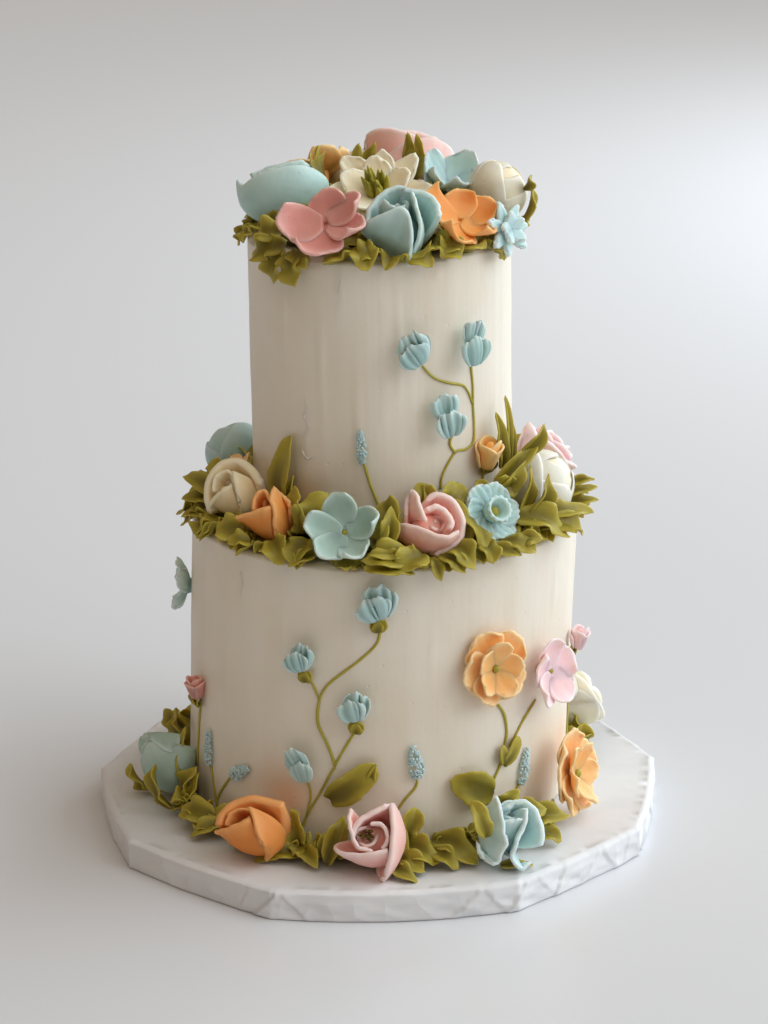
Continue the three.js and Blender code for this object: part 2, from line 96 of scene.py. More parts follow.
# name: (form, colour, azimuth and lift that it faces, size in mm, spin). A flower that is in the table
# of petals takes its petals from there, whatever its form.
FLOWERS = {
    "crown_rose_blue_left": ("rose_domed", "blue", -120, 65, 16, 0),
    "crown_blossom_orange_rear": ("blossom", "bright_orange", -150, 50, 15.5, -18),
    "crown_blossom_pink": ("blossom", "dusty_pink", -18, 50, 18, 10),
    "crown_rose_pink_rear": ("rose_back", "pink", 160, 60, 18, 0),
    "crown_daisy_cream": ("daisy", "warm_cream", -12, 56, 22, 8),
    "crown_cup_blue": ("cup", "pale_blue", 20, 60, 13, -8),
    "crown_rose_blue_front": ("rose_shield", "blue", 8, 50, 16, 0),
    "crown_blossom_orange": ("blossom", "deep_orange", 40, 55, 15, 8),
    "crown_rose_cream": ("globe", "warm_cream", 80, 50, 13.2, 0),
    "crown_star_blue": ("star", "pale_blue", 48, 15, 11.5, 0),
    "crown_rose_cream_rear": ("rose_shield", "cream", -168, 50, 14, 0),
    "crown_blossom_blue_rear": ("blossom", "blue", 127, 45, 14, 0),
    "ledge_rose_blue": ("globe", "blue", -118, 50, 14, 0),
    "ledge_blossom_orange_small": ("ruffle", "orange", -85, 55, 7.5, 0),
    "ledge_rose_cream": ("rose_swept", "ivory", -62, 40, 14.5, 0),
    "ledge_rose_orange": ("rose_pointed", "deep_orange", -34, 45, 12, 0),
    "ledge_blossom_blue": ("blossom", "teal", -10, 35, 16.5, -8),
    "ledge_rose_pink": ("rose_folded", "warm_pink", 20, 35, 14, 0),
    "ledge_daffodil_blue": ("daffodil", "blue", 36, 30, 13, 0),
    "ledge_bud_cream": ("globe", "cream", 70, 35, 15, 0),
    "ledge_rose_pink_side": ("rose_full", "pale_pink", 104, 45, 13.5, 0),
    "ledge_blossom_orange_rear": ("blossom", "orange", 143, 40, 13.5, -18),
    "ledge_rose_blue_rear": ("rose_shield", "blue", 166, 45, 15, 0),
    "ledge_blossom_pink_rear": ("blossom", "pink", -170, 35, 14, 20),
    "ledge_rose_cream_rear": ("rose_swept", "cream", -147, 45, 14, 0),
    "foot_rose_blue_left": ("rose_collar", "teal", -90, 45, 13.5, 0),
    "foot_rose_orange": ("rose_rolled", "burnt_orange", -45, 50, 16, 0),
    "foot_rose_pink": ("rose_open", "pink", -8, 28, 16, 0),
    "foot_rose_blue": ("rose_ragged", "pale_blue", 38, 40, 15.5, 0),
    "foot_blossom_orange": ("double", "orange", 66, 12, 18, -18),
    "foot_blossom_cream": ("rose_full", "cream", 112, 30, 14, 0),
    "foot_rose_pink_rear": ("rose_open", "pink", 146, 40, 15, 0),
    "foot_blossom_blue_rear": ("blossom", "blue", 170, 25, 15.5, 10),
    "foot_rose_cream_rear": ("rose_folded", "cream", -163, 40, 15, 0),
    "foot_rose_orange_rear": ("rose_pointed", "orange", -136, 40, 14.5, 0),
    "wall_blossom_orange": ("double", "orange", 32, 5, 16, 6),
    "wall_blossom_pink": ("blossom", "pale_pink", 53, 5, 14.5, -18),
    "wall_blossom_blue_left": ("ruffle", "pale_blue", -90, 5, 12, 0),
    "wall_blossom_orange_rear": ("double", "orange", -155, 5, 15, -10),
    "wall_blossom_pink_rear": ("blossom", "pink", 165, 5, 13.5, 14),
    "wall_bud_pink_left": ("slim_bud", "dusty_pink", -67, 80, 4.2, 0),
    "wall_bud_pink_right": ("slim_bud", "pale_pink", 75, 80, 4.2, 0),
    "wall_bud_orange": ("slim_bud", "bright_orange", 40, 75, 5.6, 0),
    "sprig_blue_low_1": ("sprig", "sprig_blue", -2, 10, 9.2, 0),
    "sprig_blue_low_2": ("sprig", "sprig_blue", -22, 10, 7.8, 0),
    "sprig_blue_low_3": ("sprig", "sprig_blue", -8, 10, 7.8, 0),
    "sprig_blue_low_4": ("sprig", "sprig_blue", -24, 10, 8.2, 0),
    "sprig_blue_high_1": ("sprig", "sprig_blue", 12, 5, 9.2, 0),
    "sprig_blue_high_2": ("sprig", "sprig_blue", 34, 5, 9.4, 0),
    "sprig_blue_high_3": ("sprig", "sprig_blue", 26, 5, 9.6, 0),
}

# Flowers without an olive dot in the middle
UNDOTTED = ("crown_blossom_pink", "crown_blossom_orange", "crown_cup_blue")

# The tiers: node, and how far the top stands to the right of the foot
BOTTOM = ("tier_bottom", 4.5)
TOP = ("tier_top", -0.5)
# The radius of their upper rims in mm, and the seeds of their unevenness
TIER_RIM = 2.5
WALL_SEEDS = {"tier_bottom": 11, "tier_top": 12}
# Points round a tier and round the board
TIER_STEPS = 440
BOARD_STEPS = 900


# ---------------------------------------------------------------- numbers and directions

def waves(x, seed, octaves=3):
    """A smooth uneven line of about -1 to 1, the same for one seed."""
    random = np.random.default_rng(seed)
    total = np.zeros_like(np.asarray(x, float))
    for octave in range(octaves):
        total += np.sin(x * (1.0 + 1.7 * octave) + random.uniform(0, 2 * np.pi)) / (1 + octave)
    return total / 1.6


def direction(azimuth, lift=0.0):
    """The unit vector at an azimuth (0 is the front, 90 the right), lifted above level."""
    azimuth, lift = math.radians(azimuth), math.radians(lift)
    return np.array([
        math.cos(lift) * math.sin(azimuth), -math.cos(lift) * math.cos(azimuth), math.sin(lift)])


def unit(vector):
    """The vector at a length of 1."""
    return vector / (np.linalg.norm(vector) + 1e-12)


def node_box(name):
    """A node's lowest and highest corners in mm."""
    low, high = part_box(name)
    return np.array(low) / MM, np.array(high) / MM


# ---------------------------------------------------------------- meshes

UNTURNED, ORIGIN = np.eye(3), np.zeros(3)
# Where the row of points beside a rim lies, as a share of the way across
RIM_STEP = 0.035


class Shape:
    """Closed bodies gathered for one mesh. Each point has an edge value, 0 within a petal and 1 at
    its rim, and a tone, which differs from petal to petal."""

    def __init__(self):
        self.points, self.edges, self.tones, self.faces = [], [], [], []
        self.count = 0

    def add(self, points, faces, edge=0.0, tone=0.5):
        self.points.append(points)
        self.edges.append(np.broadcast_to(edge, len(points)))
        self.tones.append(np.full(len(points), tone))
        self.faces.extend([tuple(i + self.count for i in face) for face in faces])
        self.count += len(points)

    def include(self, other, basis=UNTURNED, middle=ORIGIN):
        """Takes in another shape, turned by a 3x3 matrix and moved to a middle."""
        self.add(np.concatenate(other.points) @ basis.T + middle, other.faces,
                 np.concatenate(other.edges), 0.0)
        self.tones[-1] = np.concatenate(other.tones)


def grid_faces(index):
    """The faces of a grid of point numbers."""
    corners = index[:-1, :-1], index[:-1, 1:], index[1:, 1:], index[1:, :-1]
    return np.stack(corners, 2).reshape(-1, 4).tolist()


def spaced(start, end, count):
    """Even steps from start to end, with one more close to each end to keep a rim thick."""
    steps = np.linspace(0, 1, count - 2)
    steps = np.concatenate(([0.0, RIM_STEP], steps[1:-1], [1 - RIM_STEP, 1.0]))
    return start + (end - start) * steps


def rim_edge(u, v):
    """The edge value of a petal."""
    return np.maximum(np.abs(u) ** 5, v ** 5)


def sheet(shape, point, thick, rows, columns, tone, edge=rim_edge):
    """A closed petal or leaf. point(u, v) is its middle surface, with u from -1 to 1 across it and v
    from 0 at its foot to 1 at its tip, and thick(u, v) its thickness in mm."""
    u, v = spaced(-1, 1, columns), spaced(0, 1, rows)
    across, along = np.meshgrid(u, v)
    middle = point(across, along)
    normal = np.cross(np.gradient(middle, u, axis=1), np.gradient(middle, v, axis=0))
    normal /= np.linalg.norm(normal, axis=2, keepdims=True) + 1e-9
    half = 0.5 * thick(across, along) * np.ones_like(across)
    half[[0, -1], :] = 0
    half[:, [0, -1]] = 0
    front = middle + normal * half[..., None]
    back = (middle - normal * half[..., None])[1:-1, 1:-1]
    index = np.arange(rows * columns).reshape(rows, columns)
    behind = index.copy()
    behind[1:-1, 1:-1] = rows * columns + np.arange(back.shape[0] * back.shape[1]).reshape(back.shape[:2])
    value = edge(across, along)
    shape.add(np.concatenate([front.reshape(-1, 3), back.reshape(-1, 3)]),
              grid_faces(index) + [face[::-1] for face in grid_faces(behind)],
              np.concatenate([value.ravel(), value[1:-1, 1:-1].ravel()]), tone)


def closed_rings(shape, rings, foot, top, edge=0.0, tone=0.5):
    """A closed body of rings of points, from the foot point to the top one."""
    steps = len(rings[0])
    peak = 1 + len(rings) * steps
    faces = []
    for step in range(steps):
        beside = (step + 1) % steps
        faces.append((0, 1 + beside, 1 + step))
        for low in range(1, peak - steps, steps):
            high = low + steps
            faces.append((low + step, low + beside, high + beside, high + step))
        faces.append((peak - steps + step, peak - steps + beside, peak))
    shape.add(np.concatenate([[foot], *rings, [top]]), faces, edge, tone)


def turned(shape, rings, foot, top, steps, basis=UNTURNED, middle=ORIGIN, edge=0.0, tone=0.5):
    """A closed body of rings round the Z axis, from the underside outwards, up and back to the
    middle. Each ring is its radius and height, and foot and top are the heights of its ends."""
    turn = np.linspace(0, 2 * np.pi, steps, endpoint=False)
    body = Shape()
    rings = [np.stack([radius * np.cos(turn), radius * np.sin(turn), height * np.ones(steps)], 1)
             for radius, height in rings]
    closed_rings(body, rings, (0, 0, foot), (0, 0, top), edge, tone)
    shape.include(body, basis, middle)


def tube(shape, points, radii, tone=0.5):
    """A closed eight-sided rod along points, with a radius at each."""
    points = np.asarray(points)
    along = np.gradient(points, axis=0)
    turn = np.linspace(0, 2 * np.pi, 8, endpoint=False)
    rings = []
    side = unit(np.cross(along[0], [0.3, 0.2, 1.0]))
    for point, way, radius in zip(points, along, radii):
        way = unit(way)
        side = unit(side - way * side.dot(way))
        other = np.cross(way, side)
        rings.append(point + radius * (np.outer(np.cos(turn), side) + np.outer(np.sin(turn), other)))
    foot = points[0] - unit(along[0]) * radii[0] * 0.5
    top = points[-1] + unit(along[-1]) * radii[-1] * 0.5
    closed_rings(shape, rings, foot, top, tone=tone)


def curve_at(points, shares):
    """Points of a smooth line through the given ones, at shares of its way from 0 to 1."""
    points = np.asarray(points, float)
    padded = np.concatenate([[2 * points[0] - points[1]], points, [2 * points[-1] - points[-2]]])
    place = shares * (len(points) - 1)
    start = np.minimum(place.astype(int), len(points) - 2)
    t = (place - start)[..., None]
    a, b, c, d = (padded[start + k] for k in range(4))
    return 0.5 * (2 * b + (c - a) * t + (2 * a - 5 * b + 4 * c - d) * t ** 2
                  + (3 * b - a - 3 * c + d) * t ** 3)


def smooth_line(points, count):
    """That many points, evenly spaced on the smooth line."""
    return curve_at(points, np.linspace(0, 1, count))


def add_object(name, data):
    """An object of the scene that shows a mesh, camera or light."""
    made = bpy.data.objects.new(name, data)
    bpy.context.scene.collection.objects.link(made)
    return made


def make_piece(name, shape, material, replaces=()):
    """An object of the part, on the body root. replaces holds the CAD nodes that it stands for."""
    mesh = bpy.data.meshes.new(name)
    points = np.concatenate(shape.points) * MM
    mesh.from_pydata(points.tolist(), [], shape.faces)
    for label, values in (("edge", shape.edges), ("tone", shape.tones)):
        attribute = mesh.attributes.new(label, "FLOAT", "POINT")
        attribute.data.foreach_set("value", np.concatenate(values))
    mesh.polygons.foreach_set("use_smooth", [True] * len(mesh.polygons))
    mesh.materials.append(material)
    piece = add_object(name, mesh)
    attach(piece, "root")
    if replaces:
        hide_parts(*replaces)


# ---------------------------------------------------------------- materials

def linear(colour):
    """An #rrggbb colour as the linear values that a shader takes."""
    values = [int(colour[i:i + 2], 16) / 255 for i in (1, 3, 5)]
    return [v / 12.92 if v <= 0.04045 else ((v + 0.055) / 1.055) ** 2.4 for v in values] + [1.0]


def add_node(tree, kind, **settings):
    """A shader node with some of its inputs or settings set."""
    node = tree.nodes.new(kind)
    for key, value in settings.items():
        if key in node.inputs:
            node.inputs[key].default_value = value
        else:
            setattr(node, key, value)
    return node


def mixed(tree, factor, first, second):
    """A colour between two, each a colour or a socket."""
    node = tree.nodes.new("ShaderNodeMix")
    node.data_type = "RGBA"
    tree.links.new(factor, node.inputs["Factor"])
    for socket, value in ((node.inputs[6], first), (node.inputs[7], second)):
        if isinstance(value, list):
            socket.default_value = value
        else:
            tree.links.new(value, socket)
    return node.outputs[2]


def ranged(tree, value, low, high, to_low=0.0, to_high=1.0):
    """A value stretched from one range onto another."""
    node = add_node(tree, "ShaderNodeMapRange")
    for place, number in zip(range(1, 5), (low, high, to_low, to_high)):
        node.inputs[place].default_value = number
    tree.links.new(value, node.inputs[0])
    return node.outputs[0]


def noise(tree, place, scale, detail, stretch=None):
    """A cloudy value at a place, whose scale along each axis can be stretched."""
    if stretch:
        mapping = add_node(tree, "ShaderNodeMapping")
        mapping.inputs["Scale"].default_value = stretch
        tree.links.new(place, mapping.inputs["Vector"])
        place = mapping.outputs[0]
    node = add_node(tree, "ShaderNodeTexNoise", Scale=scale, Detail=detail)
    tree.links.new(place, node.inputs["Vector"])
    return node.outputs["Fac"]


def bumped(tree, height, strength, distance, before=None):
    """A normal tilted by a height, on top of the bumps before it."""
    node = add_node(tree, "ShaderNodeBump", Strength=strength, Distance=distance)
    tree.links.new(height, node.inputs["Height"])
    if before:
        tree.links.new(before, node.inputs["Normal"])
    return node.outputs[0]


def attribute(tree, name):
    """A value that the mesh's points carry."""
    return add_node(tree, "ShaderNodeAttribute", attribute_name=name).outputs["Fac"]


def cells(tree, place, scale):
    """How far a place is from the nearest of many scattered points."""
    node = add_node(tree, "ShaderNodeTexVoronoi", Scale=scale)
    tree.links.new(place, node.inputs["Vector"])
    return node.outputs["Distance"]


def new_material(name):
    """A material, its node tree and shader, and the place on the object."""
    material = bpy.data.materials.new(name)
    material.use_nodes = True
    tree = material.node_tree
    shader = tree.nodes["Principled BSDF"]
    place = add_node(tree, "ShaderNodeTexCoord").outputs["Object"]
    return material, tree, shader, place


def let_light_in(shader, weight, radius, scale):
    """How far light spreads under the surface."""
    shader.inputs["Subsurface Weight"].default_value = weight
    shader.inputs["Subsurface Radius"].default_value = radius
    shader.inputs["Subsurface Scale"].default_value = scale


def buttercream(name, colours, roughness=0.5, soft=0.4, shaded=0.15):
    """Piped buttercream: a painted highlight on its rims, painted shade in its folds away from them, a fine
    grain and a soft gloss. shaded is how much the painted shade darkens it away from its rims."""
    material, tree, shader, place = new_material("buttercream_" + name)
    body, rim, deep = [linear(colour) for colour in colours]
    edge, tone = attribute(tree, "edge"), attribute(tree, "tone")
    cloud = noise(tree, place, 90, 2.0)
    colour = mixed(tree, ranged(tree, cloud, 0.35, 0.75, 0.0, 0.55), body, deep)
    colour = mixed(tree, ranged(tree, tone, 0.0, 1.0, 0.0, 0.4), colour, rim)
    # Painted shade: darker away from the rims, by the share shaded.
    colour = mixed(tree, ranged(tree, edge, 0.0, 0.3, shaded, 0.0), colour, deep)
    # Painted highlight: paler towards the rims.
    colour = mixed(tree, ranged(tree, edge, 0.15, 1.0, 0.0, 0.85), colour, rim)
    tree.links.new(colour, shader.inputs["Base Color"])
    fine = noise(tree, place, 1400, 3.0)
    rough = ranged(tree, fine, 0.3, 0.7, roughness - 0.05, roughness + 0.07)
    tree.links.new(rough, shader.inputs["Roughness"])
    let_light_in(shader, soft, (1.0, 0.75, 0.5), 0.0025)
    shader.inputs["Specular IOR Level"].default_value = 0.35
    pits = cells(tree, place, 170.0)
    normal = bumped(tree, fine, 0.25, 0.0002)
    normal = bumped(tree, ranged(tree, pits, 0.0, 0.1), 0.45, 0.0004, normal)
    normal = bumped(tree, noise(tree, place, 260, 2.0), 0.35, 0.0006, normal)
    tree.links.new(normal, shader.inputs["Normal"])
    return material


def icing_material():
    """Smoothed buttercream: faint upright scraper marks, tiny pits, a warm unevenness, and an orange
    tint where its edge value is high."""
    material, tree, shader, place = new_material("icing")
    body, light, warm = [linear(colour) for colour in COLOURS["icing"]]
    cloud = noise(tree, place, 22, 3.0)
    colour = mixed(tree, ranged(tree, cloud, 0.3, 0.75, 0.0, 0.8), body, warm)
    streak = noise(tree, place, 60, 3.0, (1.0, 1.0, 0.06))
    colour = mixed(tree, ranged(tree, streak, 0.45, 0.8, 0.0, 0.6), colour, light)
    tint = ranged(tree, attribute(tree, "edge"), 0.0, 1.0, 0.0, 0.6)
    colour = mixed(tree, tint, colour, linear(ORANGE_TINT_COLOUR))
    tree.links.new(colour, shader.inputs["Base Color"])
    tree.links.new(ranged(tree, streak, 0.3, 0.7, 0.44, 0.58), shader.inputs["Roughness"])
    let_light_in(shader, 0.2, (1.0, 0.8, 0.55), 0.004)
    pits = cells(tree, place, 110.0)
    smear = noise(tree, place, 45, 4.0, (1.0, 1.0, 0.35))
    normal = bumped(tree, ranged(tree, pits, 0.0, 0.09), 0.4, 0.0005)
    normal = bumped(tree, streak, 0.5, 0.0009, normal)
    normal = bumped(tree, smear, 0.45, 0.0016, normal)
    normal = bumped(tree, noise(tree, place, 420, 3.0), 0.15, 0.0003, normal)
    tree.links.new(normal, shader.inputs["Normal"])
    return material


def wrap_material():
    """The board's white wrapping: thin crinkled paper with a slight sheen, creased in facets where its
    edge value is high."""
    material, tree, shader, place = new_material("board_wrap")
    cloud = noise(tree, place, 30, 3.0)
    colour = mixed(tree, ranged(tree, cloud, 0.3, 0.7), linear("#dddfe2"), linear("#e9eaec"))
    tree.links.new(colour, shader.inputs["Base Color"])
    tree.links.new(ranged(tree, cloud, 0.3, 0.7, 0.36, 0.48), shader.inputs["Roughness"])
    side, facets = attribute(tree, "edge"), cells(tree, place, 75.0)
    height = add_node(tree, "ShaderNodeMath", operation="MULTIPLY")
    tree.links.new(facets, height.inputs[0])
    tree.links.new(side, height.inputs[1])
    normal = bumped(tree, height.outputs["Value"], 0.6, 0.003)
    normal = bumped(tree, noise(tree, place, 180, 4.0), 0.25, 0.0005, normal)
    tree.links.new(normal, shader.inputs["Normal"])
    return material


# ---------------------------------------------------------------- petals

def fan_petal(shape, size, angle, length, width, seed, tilt, cup, lip, twist, crease, thick, ragged,
              rise, ridges=0.0, ridge_count=5, wander=0.8, waist=0.08, taper=0.78, rows=12, columns=13):
    """A spread petal from the flower's middle at an angle in degrees. Its length, width, thickness
    and rise are shares of the flower's size. tilt is how it starts off from flat and cup how much
    further it bends up; lip lifts its sides, twist sets one side higher, crease sinks its middle,
    ragged breaks its rim, and ridges run along it, even or wandering. waist narrows its foot and
    taper its tip."""
    length, width, thick, rise = (size * share for share in (length, width, thick, rise))
    tilt, cup = math.radians(tilt), math.radians(cup) + 1e-3
    turn = math.radians(angle)

    def point(u, v):
        half = 0.5 * width * np.sin(np.pi * (waist + (taper - waist) * v ** 0.9)) ** 0.85
        far = 0.04 + 0.96 * v * (1 - 0.3 * np.abs(u) ** 2.2 * v ** 2)
        far = far + ragged * waves(u * 7, seed) * v ** 6
        along = length * (np.sin(tilt + cup * far) - math.sin(tilt)) / cup
        height = length * (math.cos(tilt) - np.cos(tilt + cup * far)) / cup
        ridge = np.cos(ridge_count * np.pi * u + wander * waves(u * 2.2, seed + 3))
        height = height + length * (
            lip * (0.65 + 0.35 * u) * np.abs(u) ** 1.8 * v ** 1.4 + twist * u * v + 0.5 * lip * v ** 5
            - crease * np.exp(-(u / 0.22) ** 2) * np.sin(np.pi * v) ** 0.6
            + ridges * ridge * np.sin(np.pi * np.minimum(v, 0.75)) ** 0.5
            + 0.8 * ragged * waves(u * 4, seed + 1) * v ** 4)
        across = u * half
        x = across * math.sin(turn) + along * math.cos(turn)
        y = -across * math.cos(turn) + along * math.sin(turn)
        return np.stack([x, y, height + rise], 2)

    sheet(shape, point, lambda u, v: thick * (1.2 - 0.5 * v) * (1 - 0.3 * np.abs(u)), rows, columns,
          np.random.default_rng(seed + 7).uniform(0.2, 0.8))


def band(shape, size, start, span, base, rim, foot, low, high, flare, spread, seed, thick, arch=0.6,
         ragged=0.015, rows=12, columns=17):
    """A petal wrapped round the flower's axis, as a piping tip lays it. Lengths are shares of size:
    base and rim are its radius below and above, foot, low and high the heights of its foot and of
    its rim at the ends and in the middle. flare rolls its rim outwards, spread sets its last end
    further out than its first, and a low arch brings its rim up sooner."""
    random = np.random.default_rng(seed)
    phase = random.uniform(0, 6)

    def point(u, v):
        s = (u + 1) / 2
        bow = np.sin(np.pi * s) ** arch
        top = low + (high - low) * bow
        height = foot + (top - foot) * v
        reach = base + (rim - base) * np.sin(v * np.pi / 2) ** 0.75
        over = np.clip((v - 0.62) / 0.38, 0, 1)
        reach = reach + flare * bow * over ** 1.6 + spread * (s - 0.5)
        height = height - 0.3 * flare * bow * over ** 2.4
        height = height + ragged * waves(u * 9, seed + 3) * v ** 5
        reach = reach + 0.02 * np.sin(phase + 5 * u) * v
        angle = math.radians(start) + math.radians(span) * s
        return size * np.stack([reach * np.cos(angle), reach * np.sin(angle), height], 2)

    sheet(shape, point, lambda u, v: thick * (1.25 - 0.35 * v), rows, columns,
          random.uniform(0.2, 0.8))


def bulb(shape, size, low, high, radius, top_radius):
    """The mound that a rose is piped on."""
    turned(shape, [
        (radius * 0.7 * size, low * size), (radius * size, (low + 0.25 * (high - low)) * size),
        (top_radius * size, (low + 0.8 * (high - low)) * size), (top_radius * 0.5 * size, high * size),
    ], low * size, high * size, 16, tone=0.0)


def rose_full(shape, size, seed):
    """A piped rose: a furled heart and three layers of petals wrapped round it."""
    random = np.random.default_rng(seed)
    bulb(shape, size, -0.72, 0.1, 0.5, 0.42)
    band(shape, size, 40 * seed, 470, base=0.07, rim=0.08, foot=-0.3, low=0.38, high=0.5, flare=0.02,
         spread=0.2, seed=seed, arch=0.4, thick=1.2, rows=8, columns=25)
    turn, opens = 20 * seed, 1.04
    for count, base, rim, foot, low, high, flare, spread, span in (
            (3, 0.2, 0.34, -0.4, 0.2, 0.6, 0.05, 0.1, 165),
            (4, 0.3, 0.58, -0.55, 0.05, 0.52, 0.1, 0.12, 160),
            (5, 0.4, 0.84, -0.7, -0.2, 0.34, 0.16, 0.14, 150)):
        for k in range(count):
            start = turn + 360 * k / count + random.uniform(-12, 12)
            band(shape, size, start, span * random.uniform(0.9, 1.1), base,
                 rim * random.uniform(0.96, 1.04) * opens, foot, low, high,
                 flare * opens, spread, seed * 31 + k + 7 * count, thick=1.8)
        turn += 47


